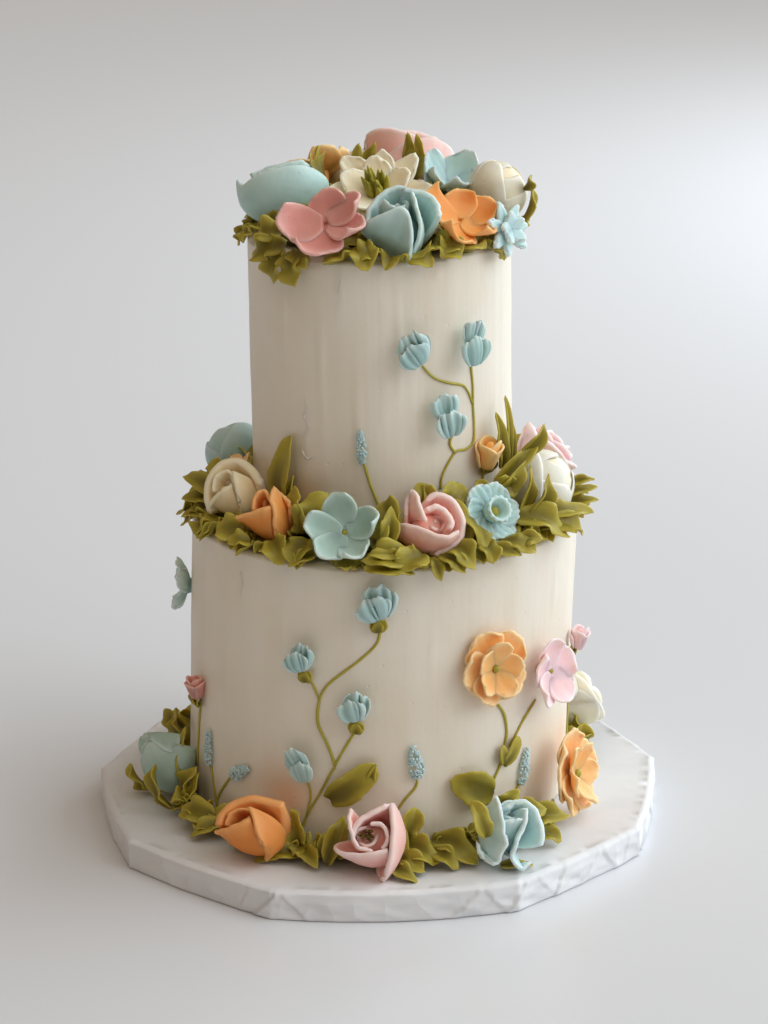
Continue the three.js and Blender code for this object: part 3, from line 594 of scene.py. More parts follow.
# Roses of a few broad petals, each as seen from a little above with the rose facing the way given.
# Lengths are shares of the rose's size: x to the right, y up and z towards the eye. After the facing
# come the hole in the middle, its half width, how high the rose is filled, and the petals. A petal is
# the arc of the rose's foot that it stands on (degrees, 0 right and 90 up as the rose is looked into)
# or a ridge of its own, the points of its free rim, and how it is made.
ROSES = {
    "rose_open": ((-8, 28), (-.22, .15, .2), .15, .12, [
        ((150, 40), [(-.52, .05, .38), (-.42, .38, .36), (-.12, .58, .32), (.15, .76, .26),
                     (.32, .88, .18)],
         dict(bulge=.1, thick=2.8)),
        ((120, -60), [(-.1, .42, .4), (.14, .36, .44), (.28, .12, .48), (.16, -.18, .5)],
         dict(bulge=.06, thick=2.0, base=.28, ragged=.003)),
        ((240, 130), [(-.02, -.2, .52), (-.34, -.08, .52), (-.5, .22, .46), (-.56, .52, .36),
                      (-.56, .8, .24)],
         dict(bulge=.12, thick=2.0)),
        ((175, 295), [(-.93, -.23, .2), (-.7, -.27, .42), (-.3, -.23, .56), (.1, -.17, .6),
                      (.32, -.14, .52)],
         dict(bulge=.28, base=.4)),
        ((70, -95), [(.38, .88, .16), (.36, .58, .42), (.36, .2, .56), (.34, -.2, .6), (.27, -.6, .5),
                     (.22, -.93, .26)],
         dict(bulge=.27, thick=2.6, base=.4)),
    ]),
    "rose_rolled": ((-45, 50), (-.5, .32, .2), .13, .08, [
        ((180, 30), [(-1.0, .02, .2), (-.93, .34, .14), (-.65, .55, .12), (-.25, .67, .14), (.2, .64, .2),
                     (.62, .57, .3)],
         dict(bulge=.1, thick=4.8, lip=.12, base=.36)),
        ((200, 90), [(-.82, .08, .3), (-.7, .34, .26), (-.4, .46, .28), (-.15, .4, .36)],
         dict(bulge=.05, thick=1.6, base=.3)),
        ((190, 320), [(-1.1, -.1, .2), (-.8, .05, .42), (-.5, .2, .54), (-.2, .36, .54)],
         dict(bulge=.28, base=.36)),
        ((285, 400), [(.36, -.45, .36), (.1, -.3, .58), (-.08, .02, .66), (-.18, .32, .6),
                      (-.3, .56, .46)],
         dict(bulge=.22, thick=2.2, base=.36)),
    ]),
    "rose_ragged": ((38, 40), (.18, .5, .1), .12, .06, [
        ((115, -50), [(.04, .55, .12), (.25, .68, .1), (.55, .66, .14), (.78, .4, .2), (.88, 0, .3),
                      (.84, -.38, .34)],
         dict(bulge=.1, thick=2.8)),
        ((215, 330), [(-.06, .3, .42), (.1, .38, .46), (.3, .38, .46), (.46, .3, .42)],
         dict(bulge=.16, thick=1.6)),
        ((60, -80), [(.54, .6, .3), (.46, .25, .52), (.28, -.1, .66), (.1, -.45, .68), (.07, -.74, .56),
                     (.34, -.92, .44), (.62, -.78, .32)],
         dict(bulge=.16, ragged=.03, columns=31)),
        ((95, 215), [(-.22, .9, .1), (-.1, .48, .46), (.0, .02, .66), (.0, -.4, .68), (-.2, -.8, .52),
                     (-.5, -.68, .42), (-.82, -.22, .26)],
         dict(bulge=.16, ragged=.045, columns=31)),
    ]),
    "rose_collar": ((-90, 45), (-.3, .6, .1), .12, .3, [
        ((-115, 120), [(-.74, .3, .1), (-.62, .7, .22), (-.45, .88, .34), (-.1, .8, .46), (.3, .66, .46),
                       (.55, .5, .4)],
         dict(bulge=.4, thick=2.2, base=.4)),
        ([(-.72, .96, .02), (-.3, 1.0, .1), (.1, 1.0, .12), (.5, .93, .1)],
         [(-.5, .88, .38), (-.2, .68, .58), (.1, .48, .7), (.45, .4, .66)],
         dict(bulge=.1, thick=2.4)),
        ([(-.72, .96, .0), (-.78, .7, -.05), (-.72, .42, .0)],
         [(-.46, .86, .36), (-.62, .6, .3), (-.7, .36, .2)],
         dict(bulge=.04, thick=2.0)),
    ]),
    "rose_domed": ((-120, 65), (0, .5, 0), .1, .42, [
        ((-110, 200), [(-.85, .45, -.1), (-.4, .64, -.1), (.1, .74, 0), (.5, .72, -.1), (.85, .44, -.1)],
         dict(bulge=.14, base=.4)),
        ((-60, 150), [(-.66, .46, .2), (-.2, .6, .3), (.3, .74, .3), (.6, .66, .2)],
         dict(bulge=.1, thick=1.8, base=.3)),
        ((-90, 170), [(-1.12, .38, -.05), (-.96, .2, .2), (-.6, .38, .56), (-.1, .52, .7),
                      (.4, .55, .66), (.76, .42, .44), (.92, .2, .15)],
         dict(bulge=.36, thick=2.2, base=.5)),
    ]),
    "rose_back": ((160, 60), (0, .5, 0), .1, .3, [
        ((200, 340), [(-.5, .84, -.3), (.1, .9, -.3), (.7, .7, -.3)], dict(bulge=.2)),
        ((-60, 120), [(-1.0, .42, .0), (-.84, .8, .1), (-.4, .86, .3), (.1, .72, .42), (.5, .4, .46),
                      (.7, .0, .4)],
         dict(bulge=.26, lip=.1)),
        ((60, 230), [(-.46, .16, .5), (-.1, .46, .52), (.4, .62, .44), (.8, .5, .24), (1.02, .2, .0)],
         dict(bulge=.3, lip=.1)),
    ]),
    "rose_shield": ((8, 50), (-.12, .5, .1), .13, .06, [
        ((80, 205), [(.25, .86, .06), (-.08, .93, .02), (-.42, .8, .06), (-.72, .44, .16),
                     (-.86, .04, .28)],
         dict(bulge=.1, thick=2.6)),
        ((-35, 105), [(.84, .2, .34), (.85, .36, .26), (.74, .62, .16), (.42, .82, .08), (.02, .88, .08)],
         dict(bulge=.1, thick=2.8)),
        ((150, 270), [(-.56, .5, .34), (-.36, .62, .42), (-.16, .46, .5), (.08, .5, .46)],
         dict(bulge=.08, thick=1.5, base=.3)),
        ((165, 288), [(-.9, -.06, .22), (-.76, .1, .4), (-.38, .3, .56), (0, .44, .62), (.2, .24, .66),
                      (.22, -.3, .66), (.06, -.82, .46)],
         dict(bulge=.26, base=.4, columns=29)),
        ((-80, 50), [(.2, -.8, .3), (.36, -.2, .6), (.3, .35, .64), (.2, .8, .4)],
         dict(bulge=.12, base=.42)),
    ]),
    "rose_swept": ((-62, 40), (-.3, .3, .2), .14, .06, [
        ((200, 90), [(-.5, -.05, .34), (-.46, .35, .3), (-.15, .5, .3), (.05, .36, .4)],
         dict(bulge=.05, thick=1.7, base=.3)),
        ((200, 320), [(-.6, -.5, .2), (-.42, -.16, .46), (-.2, .08, .56), (.04, .2, .58)],
         dict(bulge=.26, thick=2.2, base=.4)),
        ((285, 410), [(.42, -.56, .4), (.2, -.2, .6), (.06, .18, .66), (0, .54, .5)],
         dict(bulge=.2, thick=2.2, base=.4)),
        ((225, 20), [(-.6, -.66, .05), (-.7, -.12, .16), (-.6, .4, .2), (-.28, .72, .2), (.12, .76, .26),
                     (.52, .5, .38), (.86, .14, .5)],
         dict(bulge=.1, thick=4.2, lip=.12, columns=27)),
    ]),
    "rose_pointed": ((-34, 45), (-.02, .6, .2), .1, .05, [
        ((200, 90), [(-.5, .3, .34), (-.42, .8, .24), (-.15, .92, .24), (.03, .6, .4)],
         dict(bulge=.08, thick=1.8)),
        ((80, -10), [(.2, .9, .1), (.56, .6, .18), (.7, .1, .2)], dict(bulge=.1)),
        ((185, 290), [(-1.12, .05, .18), (-.62, .24, .44), (-.2, .42, .56), (.1, .48, .54)],
         dict(bulge=.27, base=.4)),
        ((-70, 62), [(.28, -.62, .42), (.14, -.2, .62), (.1, .3, .64), (-.02, .7, .5), (.14, 1.08, .3)],
         dict(bulge=.18, base=.4)),
    ]),
    "rose_folded": ((20, 35), (.22, .08, .2), .1, .2, [
        ((115, -105), [(-.05, .74, .15), (.25, .86, .14), (.6, .76, .18), (.88, .38, .26), (.93, -.04, .32),
                       (.8, -.38, .34), (.48, -.64, .3), (.16, -.78, .2)],
         dict(bulge=.08, thick=3.0, columns=31)),
        ((110, -50), [(-.04, .46, .36), (.26, .5, .34), (.54, .28, .4), (.6, -.06, .48)],
         dict(bulge=.1, thick=3.0, base=.28)),
        ((125, 215), [(-.04, .12, .6), (-.16, .5, .56), (-.26, .88, .42), (-.4, 1.04, .3), (-.54, .86, .22),
                      (-.64, .3, .2)],
         dict(bulge=.14, thick=2.2, columns=27)),
        ((180, 335), [(-.84, .08, .18), (-.55, .13, .44), (-.2, .04, .6), (.15, -.12, .7),
                      (.5, -.2, .68), (.8, -.1, .52)],
         dict(bulge=.27, thick=2.2, base=.42)),
    ]),
}
# How far above level the roses of the table are seen from, in degrees
VIEW_LIFT = 18.0


def sail(shape, size, own, start_on, rim, seed, bulge=0.3, thick=2.0, base=0.38, lip=0.06,
         ragged=0.014, columns=23):
    """A broad petal between an arc of the flower's foot, or a ridge, and its free rim. own is the
    flower's own frame (right, up, axis) within the frame of the points."""
    random = np.random.default_rng(seed)
    phase = random.uniform(0, 6)

    def point(u, v):
        s = (u + 1) / 2
        if np.ndim(start_on) == 1:
            turn = np.radians(start_on[0] + (start_on[1] - start_on[0]) * s)[..., None]
            outward = np.cos(turn) * own[:, 0] + np.sin(turn) * own[:, 1]
            start = base * outward - 0.66 * own[:, 2]
        else:
            outward = np.ones_like(s)[..., None] * [0, 0.5, 0.85]
            start = curve_at(start_on, s)
        end = curve_at(rim, s)
        end = end + ragged * waves(u * 11, seed)[..., None] * own[:, 2]
        end = end + ragged * waves(u * 17, seed + 1)[..., None] * outward
        end = end + 0.5 * ragged * waves(u * 43, seed + 2)[..., None] * own[:, 2]
        middle = (start + end) / 2 + 2 * bulge * outward
        w = v[..., None]
        place = (1 - w) ** 2 * start + 2 * w * (1 - w) * middle + w ** 2 * end
        over = np.clip((w - 0.7) / 0.3, 0, 1)
        place = place + lip * over ** 2 * outward * np.sin(np.pi * s)[..., None] ** 0.5
        return size * (place + 0.012 * np.sin(phase + 6 * u + 3 * v)[..., None] * outward)

    sheet(shape, point, lambda u, v: thick * (1.15 - 0.45 * v + 0.1 * v ** 8), 15, columns,
          random.uniform(0.2, 0.8))


def petal_rose(shape, size, seed, form):
    """A rose of the table, in the frame that the table uses."""
    faces, hole, hole_size, filled, petals = ROSES[form]
    view = flower_frame(0, VIEW_LIFT)
    own = view.T @ flower_frame(*faces)
    filling, furl = Shape(), Shape()
    bulb(filling, size, -0.7, filled, 0.44, 0.42)
    shape.include(filling, own)
    for k in range(3):
        band(furl, size, 100 * seed + 140 * k, 190, base=0.03 + 0.05 * k, rim=0.6 * hole_size + 0.09 * k,
             foot=-0.5, low=0.0, high=0.28 + 0.03 * k, flare=0.02, spread=0.06, seed=seed + k, arch=0.9,
             thick=1.5, ragged=0.004, rows=9)
    flat = np.array(hole) - own[:, 2] * np.dot(own[:, 2], hole)
    shape.include(furl, own, size * flat)
    for count, (start_on, rim, made) in enumerate(petals):
        sail(shape, size, own, start_on, rim, seed * 53 + count, **made)


def globe(shape, size, seed):
    """A closed flower: a ball of petals folded over one another up to its top."""
    turned(shape, size * np.array([
        (0.5, -0.74), (0.76, -0.42), (0.85, -0.05), (0.8, 0.3), (0.62, 0.57), (0.34, 0.76),
    ]), -0.78 * size, 0.82 * size, 30)
    for k in range(6):
        wrap(shape, size, 137 * k + 40 * seed, 170, 0.87 + 0.012 * k, 84 - 9 * k, seed * 17 + k)


def wrap(shape, size, start, span, reach, highest, seed):
    """A petal that lies close over a ball. Its rim climbs to a latitude in degrees."""
    random = np.random.default_rng(seed)
    lean = random.uniform(0.75, 1.3)

    def point(u, v):
        s = (u + 1) / 2
        rim = -20 + (highest + 20) * np.sin(np.pi * s ** lean) ** 0.7
        latitude = np.radians(-58 + (rim + 58) * v)
        longitude = np.radians(start + span * s)
        lifted = reach + 0.022 * v ** 4 * np.sin(np.pi * s) + 0.006 * waves(u * 5 + 3 * v, seed)
        level = lifted * np.cos(latitude)
        return size * np.stack([level * np.cos(longitude), level * np.sin(longitude),
                                0.96 * lifted * np.sin(latitude)], 2)

    sheet(shape, point, lambda u, v: 1.1 - 0.6 * v, 17, 25, random.uniform(0.3, 0.7))


# Flowers whose petals are set one by one: angle, length and width as shares of the size, tilt, further
# bend, rise and ridges.
PETALS = {
    "crown_blossom_pink": [
        (97, .8, .94, 2, 36, -.1, 0), (38, .98, .78, 4, 34, -.06, 0), (-10, 1.02, .86, 0, 22, -.08, 0),
        (195, 1.06, 1.02, -2, 28, -.05, 0), (-95, .98, 1.14, -8, 30, -.1, 0)],
    "crown_blossom_orange": [
        (147, 1.24, .96, 10, 12, -.06, 0), (66, .86, 1.05, 2, 34, -.08, 0), (10, 1.12, 1.04, 0, 30, -.1, 0),
        (-58, 1.0, 1.0, -4, 28, -.06, 0), (-132, 1.2, 1.1, -4, 24, -.08, 0)],
    "ledge_blossom_blue": [
        (108, .95, .9, -2, 44, -.1, 0), (26, .98, .84, -4, 40, -.07, 0), (178, .97, .76, -2, 42, -.06, 0),
        (-54, .9, .82, -6, 42, -.09, 0), (-122, .92, .8, -6, 42, -.05, 0)],
    "crown_cup_blue": [
        (138, 1.2, 1.4, 14, 48, -.42, .02), (40, 1.24, 1.4, 14, 48, -.42, .02),
        (-22, 1.1, 1.0, 24, 40, -.42, .02), (-84, 1.2, 1.3, 30, 18, -.42, .02),
        (-150, 1.14, 1.1, 22, 42, -.42, .02)],
}
# Flowers set a little higher or lower than their solids, in mm
RAISED = {"ledge_blossom_orange_small": 4.0, "ledge_rose_blue": -3.5,
          "crown_blossom_orange_rear": 0.5}
SHARP_PETALS = {"crown_cup_blue": 0.9}
# How far the sides of the petals stand up, where it isn't the usual 0.28
PETAL_LIPS = {"crown_blossom_pink": 0.2, "ledge_blossom_blue": 0.42}


def set_petals(shape, size, seed, name):
    """A flower of the table of petals."""
    for count, (angle, length, width, tilt, bend, rise, ridges) in enumerate(PETALS[name]):
        fan_petal(shape, size, angle, length, width, seed=seed * 11 + count, tilt=tilt, cup=bend,
                  rise=rise, ridges=ridges, lip=PETAL_LIPS.get(name, 0.28), twist=0.07, crease=0.02,
                  thick=0.115, ragged=0.014, taper=SHARP_PETALS.get(name, 0.8), rows=15, columns=19)
    foot = -0.46 if name == "crown_cup_blue" else -0.12
    cone(shape, size, foot - 0.38, foot, 0.26)


# Small flowers on the wall stems: pleated fans that open upwards, the last in front. Foot (x, y) and
# heading, then length, width, tilt, further bend, rise and depth of the pleats
SPRIGS = {
    "sprig_blue_high_1": [
        ((0.44, -0.64), 112, 1.52, 1.5, 8, 10, -0.1, 0.09),
        ((0.4, -0.7), 124, 1.16, 1.5, 44, -52, -0.02, 0.05)],
    "sprig_blue_high_2": [
        ((0.06, -0.14), 80, 1.2, 1.15, 10, 10, -0.1, 0.08),
        ((0.12, -0.9), 94, 1.36, 1.36, 34, -40, -0.02, 0.06)],
    "sprig_blue_high_3": [
        ((0.12, -0.1), 100, 1.2, 1.3, 8, 12, -0.1, 0.08),
        ((0.22, -0.8), 99, 1.24, 1.36, 38, -44, -0.02, 0.065)],
    "sprig_blue_low_1": [
        ((0.24, -0.68), 92, 1.54, 1.6, 8, 12, -0.1, 0.09),
        ((0.18, -0.74), 114, 1.2, 1.66, 46, -54, -0.02, 0.075)],
    "sprig_blue_low_2": [
        ((-0.1, -0.74), 86, 1.5, 1.34, 8, 10, -0.1, 0.1),
        ((-0.08, -0.78), 108, 1.18, 1.46, 48, -54, -0.02, 0.07)],
    "sprig_blue_low_3": [
        ((0.1, -0.9), 86, 1.6, 1.5, 8, 12, -0.1, 0.09),
        ((0.08, -0.94), 104, 1.28, 1.56, 42, -50, -0.02, 0.07)],
    "sprig_blue_low_4": [
        ((0.42, -0.56), 120, 1.76, 1.36, 12, 12, -0.1, 0.03),
        ((0.4, -0.72), 102, 1.14, 1.3, 36, -38, -0.02, 0.02)],
}


def sprig(shape, size, seed, name):
    """A flower of the table of sprigs."""
    for count, (foot, heading, length, width, tilt, bend, rise, pleats) in enumerate(SPRIGS[name]):
        fan = Shape()
        fan_petal(fan, size, heading, length, width, seed=seed * 11 + count, tilt=tilt, cup=bend,
                  rise=rise, ridges=pleats, ridge_count=3, wander=4.0, lip=-0.06, twist=0.1, crease=0.0,
                  thick=0.13, ragged=0.08, waist=0.12, taper=0.68, rows=17, columns=29)
        shape.include(fan, middle=size * np.array([*foot, 0.0]))


def cone(shape, size, low, high, radius):
    """The short foot under a spread flower, widening from its lower to its upper end."""
    turned(shape, [(0.6 * radius * size, low * size), (radius * size, high * size)],
           low * size, (high + 0.03) * size, 14, tone=0.1)


# Flowers of layers of like petals. A layer is its number of petals, the first one's angle, the factor
# and offset of its seeds, and how a petal is made. Where two numbers stand, each petal takes one
# between them, in the order given, and stray is how far it is turned aside. After the layers come the
# lower and upper end and the radius of the foot.
LAYERED = {
    "blossom": ([(5, 36, 11, 0, dict(
        stray=(-5, 5), length=(0.97, 1.07), width=(0.98, 1.12), tilt=(-6, 2), cup=(14, 36), lip=0.18,
        twist=0.07, crease=0.02, thick=0.1, ragged=0.014, rise=(-0.11, -0.05), rows=15, columns=17)),
    ], (-0.5, -0.12, 0.28)),
    "double": ([(5, 36, 13, 0, dict(
        stray=(-5, 5), length=(0.96, 1.06), width=(1.16, 1.34), tilt=-4, cup=(14, 26), lip=0.12,
        twist=0.08, crease=0.02, ridges=0.01, thick=0.11, ragged=0.035, rise=-0.1, rows=14, columns=17)),
        (5, 0, 17, 0, dict(
            stray=(-10, 10), length=(0.72, 0.86), width=(0.62, 0.76), tilt=(5, 12), cup=(20, 40), lip=0.14,
            twist=(-0.1, 0.12), crease=0.03, thick=0.09, ragged=0.04, rise=-0.02)),
    ], (-0.3, -0.1, 0.28)),
    "ruffle": ([(5, 36, 19, 0, dict(
        stray=(-12, 12), length=(0.85, 1.15), width=(0.75, 1.05), tilt=(0, 16), cup=(0, 30), lip=0.12,
        twist=(-0.12, 0.14), crease=0.04, ridges=0.03, ridge_count=3, thick=0.13, ragged=0.04,
        rise=(-0.2, -0.06), columns=17)),
    ], (-0.4, -0.14, 0.3)),
    "star": ([(count, turn, 29, offset, dict(
        stray=(-8, 8), length=(reach * 0.92, reach * 1.06), width=0.44, tilt=tilt, cup=14, lip=0.0,
        twist=0.02, crease=0.035, thick=0.26, ragged=0.003, waist=0.22, rise=rise, columns=11))
        for count, turn, offset, reach, tilt, rise in (
            (7, 0, 0, 1.04, 2, -0.16), (5, 20, 10, 0.68, 20, -0.04))
    ], (-0.45, -0.1, 0.3)),
    "daisy": ([(count, turn, 37, offset, dict(
        stray=(-7, 7), length=(reach * 0.86, reach * 1.06), width=(0.52, 0.66), tilt=tilt, cup=(6, 22),
        lip=0.05, twist=(-0.03, 0.06), crease=0.03, ridges=0.008, ridge_count=4, thick=0.086364,
        ragged=0.02, waist=0.15, taper=0.79, rise=-0.16, rows=15, columns=15))
        for count, turn, offset, reach, tilt in ((8, 0, 0, 1.06, 3), (5, 20, 20, 0.8, 18))
    ], (-0.45, -0.12, 0.24)),
    "daffodil": ([(6, 0, 41, 0, dict(
        stray=0, length=1, width=1.22, tilt=0, cup=20, lip=0.05, twist=0.07, crease=0.03, ridges=0.028,
        thick=0.11, ragged=0.02, rise=-0.16, rows=10, columns=19)),
    ], (-0.4, -0.1, 0.34)),
}


def layered_flower(shape, size, seed, spin, form):
    """A flower of the table of layers."""
    layers, foot = LAYERED[form]
    for count, turn, factor, offset, petal in layers:
        for k in range(count):
            own_seed = seed * factor + offset + k
            random = np.random.default_rng(own_seed)
            made = {key: random.uniform(*value) if isinstance(value, tuple) else value
                    for key, value in petal.items()}
            angle = spin + turn + 360 * k / count + made.pop("stray")
            fan_petal(shape, size, angle, seed=own_seed, **made)
    if form == "daffodil":
        trumpet(shape, size)
    cone(shape, size, *foot)


def trumpet(shape, size):
    """The scalloped ring that stands on a daffodil's disc."""
    steps = 52
    scallop = 1 + 0.07 * np.sin(13 * np.linspace(0, 2 * np.pi, steps, endpoint=False))
    rings = [(0.2, -0.14), (0.3, -0.05), (0.37, 0.22), (0.42 * scallop, 0.36), (0.41 * scallop, 0.43),
             (0.34, 0.44), (0.28, 0.36), (0.24, 0.1)]
    turned(shape, [(out * size, rise * size) for out, rise in rings], -0.14 * size, 0.02 * size, steps,
           edge=0.5)


def slim_bud(shape, size, seed):
    """A furled bud, upright on its stem, with its outer petals starting to open."""
    bulb(shape, size, -1.15, 0.8, 0.6, 0.4)
    for k in range(5):
        band(shape, size, 130 * k + 30 * seed, 175, base=0.4, rim=0.6 + 0.07 * k, foot=-1.15,
             low=0.1 - 0.06 * k, high=1.2 - 0.16 * k, flare=0.05 + 0.03 * k, spread=0.14,
             seed=seed * 43 + k, thick=0.9, ragged=0.02, rows=11)


WRAPPED_FORMS = {"rose_full": rose_full, "globe": globe, "slim_bud": slim_bud}


def flower_frame(azimuth, lift):
    """Columns: to the right and up as seen from in front of the flower, and the way it faces."""
    right, face = direction(azimuth + 90), direction(azimuth, lift)
    return np.stack([right, np.cross(face, right), face], 1)


def flower_middle(name):
    """The middle of a flower's solid, raised or lowered as the table says."""
    low, high = node_box(name)
    return (low + high) / 2 + np.array([0, 0, RAISED.get(name, 0.0)])


def make_flowers(materials):
    """A piece for each flower, with the dots in their middles and the stamens in two of their own."""
    centres, stamens = Shape(), Shape()
    for seed, (name, (form, colour, azimuth, lift, size, spin)) in enumerate(FLOWERS.items(), 1):
        local, flower = Shape(), Shape()
        basis = flower_frame(azimuth, lift)
        sunk = 0.0
        if form == "sprig":
            sprig(local, size, seed, name)
        elif name in PETALS:
            set_petals(local, size, seed, name)
            sunk = 0.08
        elif form in LAYERED:
            layered_flower(local, size, seed, spin, form)
            sunk = 0.08
        elif form in ROSES:
            made_facing = ROSES[form][0]
            basis = flower_frame(azimuth - made_facing[0], VIEW_LIFT + lift - made_facing[1])
            petal_rose(local, size, seed, form)
        else:
            WRAPPED_FORMS[form](local, size, seed)
            sunk = 0.04
        middle = flower_middle(name) - sunk * size * basis[:, 2]
        flower.include(local, basis, middle)
        make_piece(name + "_petals", flower, materials[colour], [name])
        if form in CENTRE_DOTS and name not in UNDOTTED:
            centre_dot(centres, form, size, basis, middle)
        elif form in TUFTS:
            tuft(stamens if form == "rose_open" else centres, form, seed, basis, middle)
    make_piece("flower_centres", centres, materials["tuft"])
    make_piece("rose_stamens", stamens, materials["stamen"])


# Dots in the middles of flowers: how high they stand and their radius, as shares of the size
CENTRE_DOTS = {"blossom": (-0.1, 0.1), "double": (0.04, 0.1), "daffodil": (0.05, 0.17)}
# Tufts: how many blades, their height, spread, radius and foot in mm, and where the tuft stands
TUFTS = {"daisy": (20, 9.5, 3.7, 1.8, -1.0, (0, 0, 0)),
         "rose_open": (12, 2.8, 2.1, 1.0, 3.6, (-3.6, 2.6, 0))}


def centre_dot(shape, form, size, basis, middle):
    """The olive dot in a flower's middle."""
    rise, radius = CENTRE_DOTS[form]
    rise, radius = rise * size, radius * size
    rings = [(radius, rise), (radius * 0.9, rise + 0.5 * radius), (radius * 0.5, rise + 0.85 * radius)]
    turned(shape, rings, rise, rise + 0.95 * radius, 10, basis, middle)


def tuft(shape, form, seed, basis, middle):
    """Blades that spread from a flower's middle."""
    random = np.random.default_rng(seed)
    count, tall, spread, wide, foot, beside = TUFTS[form]
    for _ in range(count):
        turn, out = random.uniform(0, 2 * np.pi), spread * random.uniform(0.1, 1) ** 0.5
        start = np.array([out * np.cos(turn), out * np.sin(turn), foot])
        tip = start * [1.5, 1.5, 1] + [*random.uniform(-0.8, 0.8, 2), tall * random.uniform(0.7, 1)]
        line = smooth_line([start, (start + tip) / 2 + [0.2, 0.1, 0], tip], 6) + beside
        radii = wide * np.array([0.8, 0.75, 0.7, 0.6, 0.4, 0.15])
        tube(shape, line @ basis.T + middle, radii, random.uniform(0, 1))


# ---------------------------------------------------------------- leaves

def leaf(shape, base, tip, facing, width, fold, ruffle, bulge, count, outline, seed,
         thick=1.2, curl=0.0, veins=0.035, rows=16, columns=13):
    """A piped leaf from its base to its tip. facing is roughly the way its upper face looks; fold
    raises its sides, ruffle waves them, bulge arches its length, curl swings its tip to one side, and
    outline says how steeply it widens from the base and how sharply it ends."""
    base, tip = np.asarray(base, float), np.asarray(tip, float)
    length = np.linalg.norm(tip - base)
    along = unit(tip - base)
    above = unit(facing - along * np.dot(facing, along))
    basis = np.stack([np.cross(along, above), along, above], 1)
    random = np.random.default_rng(seed)
    phases = random.uniform(0, 2 * np.pi, 2)
    widest = outline[0] / sum(outline)
    greatest = (widest + 0.03) ** outline[0] * (1 - widest) ** outline[1]

    def point(u, v):
        half = 0.5 * width * ((v + 0.03) ** outline[0] * (1 - v) ** outline[1] / greatest) + 0.12
        phase = np.where(u < 0, phases[0], phases[1])
        swing = 2 * np.pi * count * v ** 0.8 + phase
        height = half * (fold * np.abs(u) + ruffle * 2 * np.sin(swing) * np.abs(u) ** 1.6)
        height = height + bulge * length * 4 * v * (1 - v) + half * veins * np.cos(7 * np.pi * u) * (1 - v)
        height = height - 1.6 * veins * half * np.exp(-(u / 0.12) ** 2) * (1 - v)
        out = 1 + 0.1 * np.sin(swing + 1.2) + 0.035 * np.sin(3.1 * swing) + 0.018 * np.sin(8.3 * swing)
        bend = curl * length * v ** 2
        reach = length * v + 0.06 * length * np.sin(swing) * np.abs(u)
        return np.stack([u * half * out + bend, reach, height], 2) @ basis.T + base

    # The edge value is highest at the rims and tip, where the material paints a highlight, and lowest at
    # the base and middle, where it paints shade.
    sheet(shape, point, lambda u, v: thick * (1.3 - 0.75 * np.abs(u)) * (1.1 - 0.5 * v), rows, columns,
          random.uniform(0, 1), lambda u, v: 0.25 * v + 0.75 * np.maximum(np.abs(u) ** 3, v ** 6))


# How a leaf is shaped
BROAD = dict(fold=0.55, ruffle=0.16, bulge=0.16, count=1.8, veins=0.05, outline=(0.5, 0.48), curl=0.1)
POINTED = dict(fold=0.6, ruffle=0.12, bulge=0.12, count=1.7, veins=0.045, outline=(0.55, 0.8), curl=-0.06)
UPRIGHT = dict(fold=0.22, ruffle=0.05, bulge=0.12, count=1.5, veins=0.07, outline=(0.5, 0.45), curl=0.1)
BLADE = dict(fold=0.7, ruffle=0.03, bulge=0.06, count=1.0, veins=0.02, outline=(0.35, 0.8))
CRINKLED = dict(fold=0.4, ruffle=0.24, bulge=0.16, count=2.2, veins=0.05, outline=(0.5, 0.6))
# How much of its tabled width a leaf set one by one has
PLACED_WIDTH = 0.84

# Leaves set one by one round the front: azimuth, distance out and height above the bed of the base and
# of the tip, the width, how far from level the upper face looks up, and the shape
CROWN_LEAVES = [
    ((-44, 52, 3), (-60, 57, -4), 13, 30, CRINKLED), ((-44, 53, 2), (-46, 57, -11), 12, 10, CRINKLED),
    ((-38, 53, 2), (-35, 57, -11), 12, 10, CRINKLED), ((-38, 52, 3), (-29, 57, -3), 10, 30, CRINKLED),
    ((-50, 49, 6), (-60, 55, 4), 13, 40, BROAD), ((-84, 50, 5), (-88, 56, -5), 9, 20, CRINKLED),
    ((-72, 50, 5), (-70, 57, 0), 10, 30, CRINKLED), ((-13, 49, 6), (-22, 57, 0), 13, 40, CRINKLED),
    ((-8, 50, 5), (-3, 58, -2), 13, 40, BROAD), ((-1, 50, 5), (-9, 57, 1), 11, 45, CRINKLED),
    ((6, 50, 3), (2, 57, -2), 10, 35, POINTED), ((11, 50, 5), (20, 58, -2), 14, 35, CRINKLED),
    ((21, 49, 6), (12, 57, 1), 13, 45, BROAD), ((23, 49, 6), (33, 58, 0), 15, 40, CRINKLED),
    ((34, 50, 5), (26, 57, 2), 11, 45, BROAD), ((36, 50, 5), (46, 57, 1), 12, 40, POINTED),
    ((54, 50, 5), (58, 57, -5), 11, 20, CRINKLED),
    ((62, 50, 4), (65, 56, -4), 9, 20, CRINKLED), ((84, 55, 2), (86, 61, 19), 8, 20, POINTED),
    ((86, 58, 17), (79, 60, 24), 6, 30, POINTED), ((80, 52, 3), (84, 60, 3), 9, 40, CRINKLED),
    ((-108, 20, 16), (-112, 26, 33), 8, 20, POINTED), ((-100, 22, 16), (-94, 27, 31), 7, 20, POINTED),
    ((-116, 22, 16), (-126, 27, 30), 7, 20, POINTED), ((-150, 14, 18), (-152, 17, 32), 9, 20, POINTED),
    ((-165, 16, 18), (-174, 20, 32), 7, 20, POINTED), ((150, 20, 18), (152, 23, 36), 9, 20, POINTED),
    ((140, 22, 18), (146, 26, 34), 8, 20, POINTED),
]
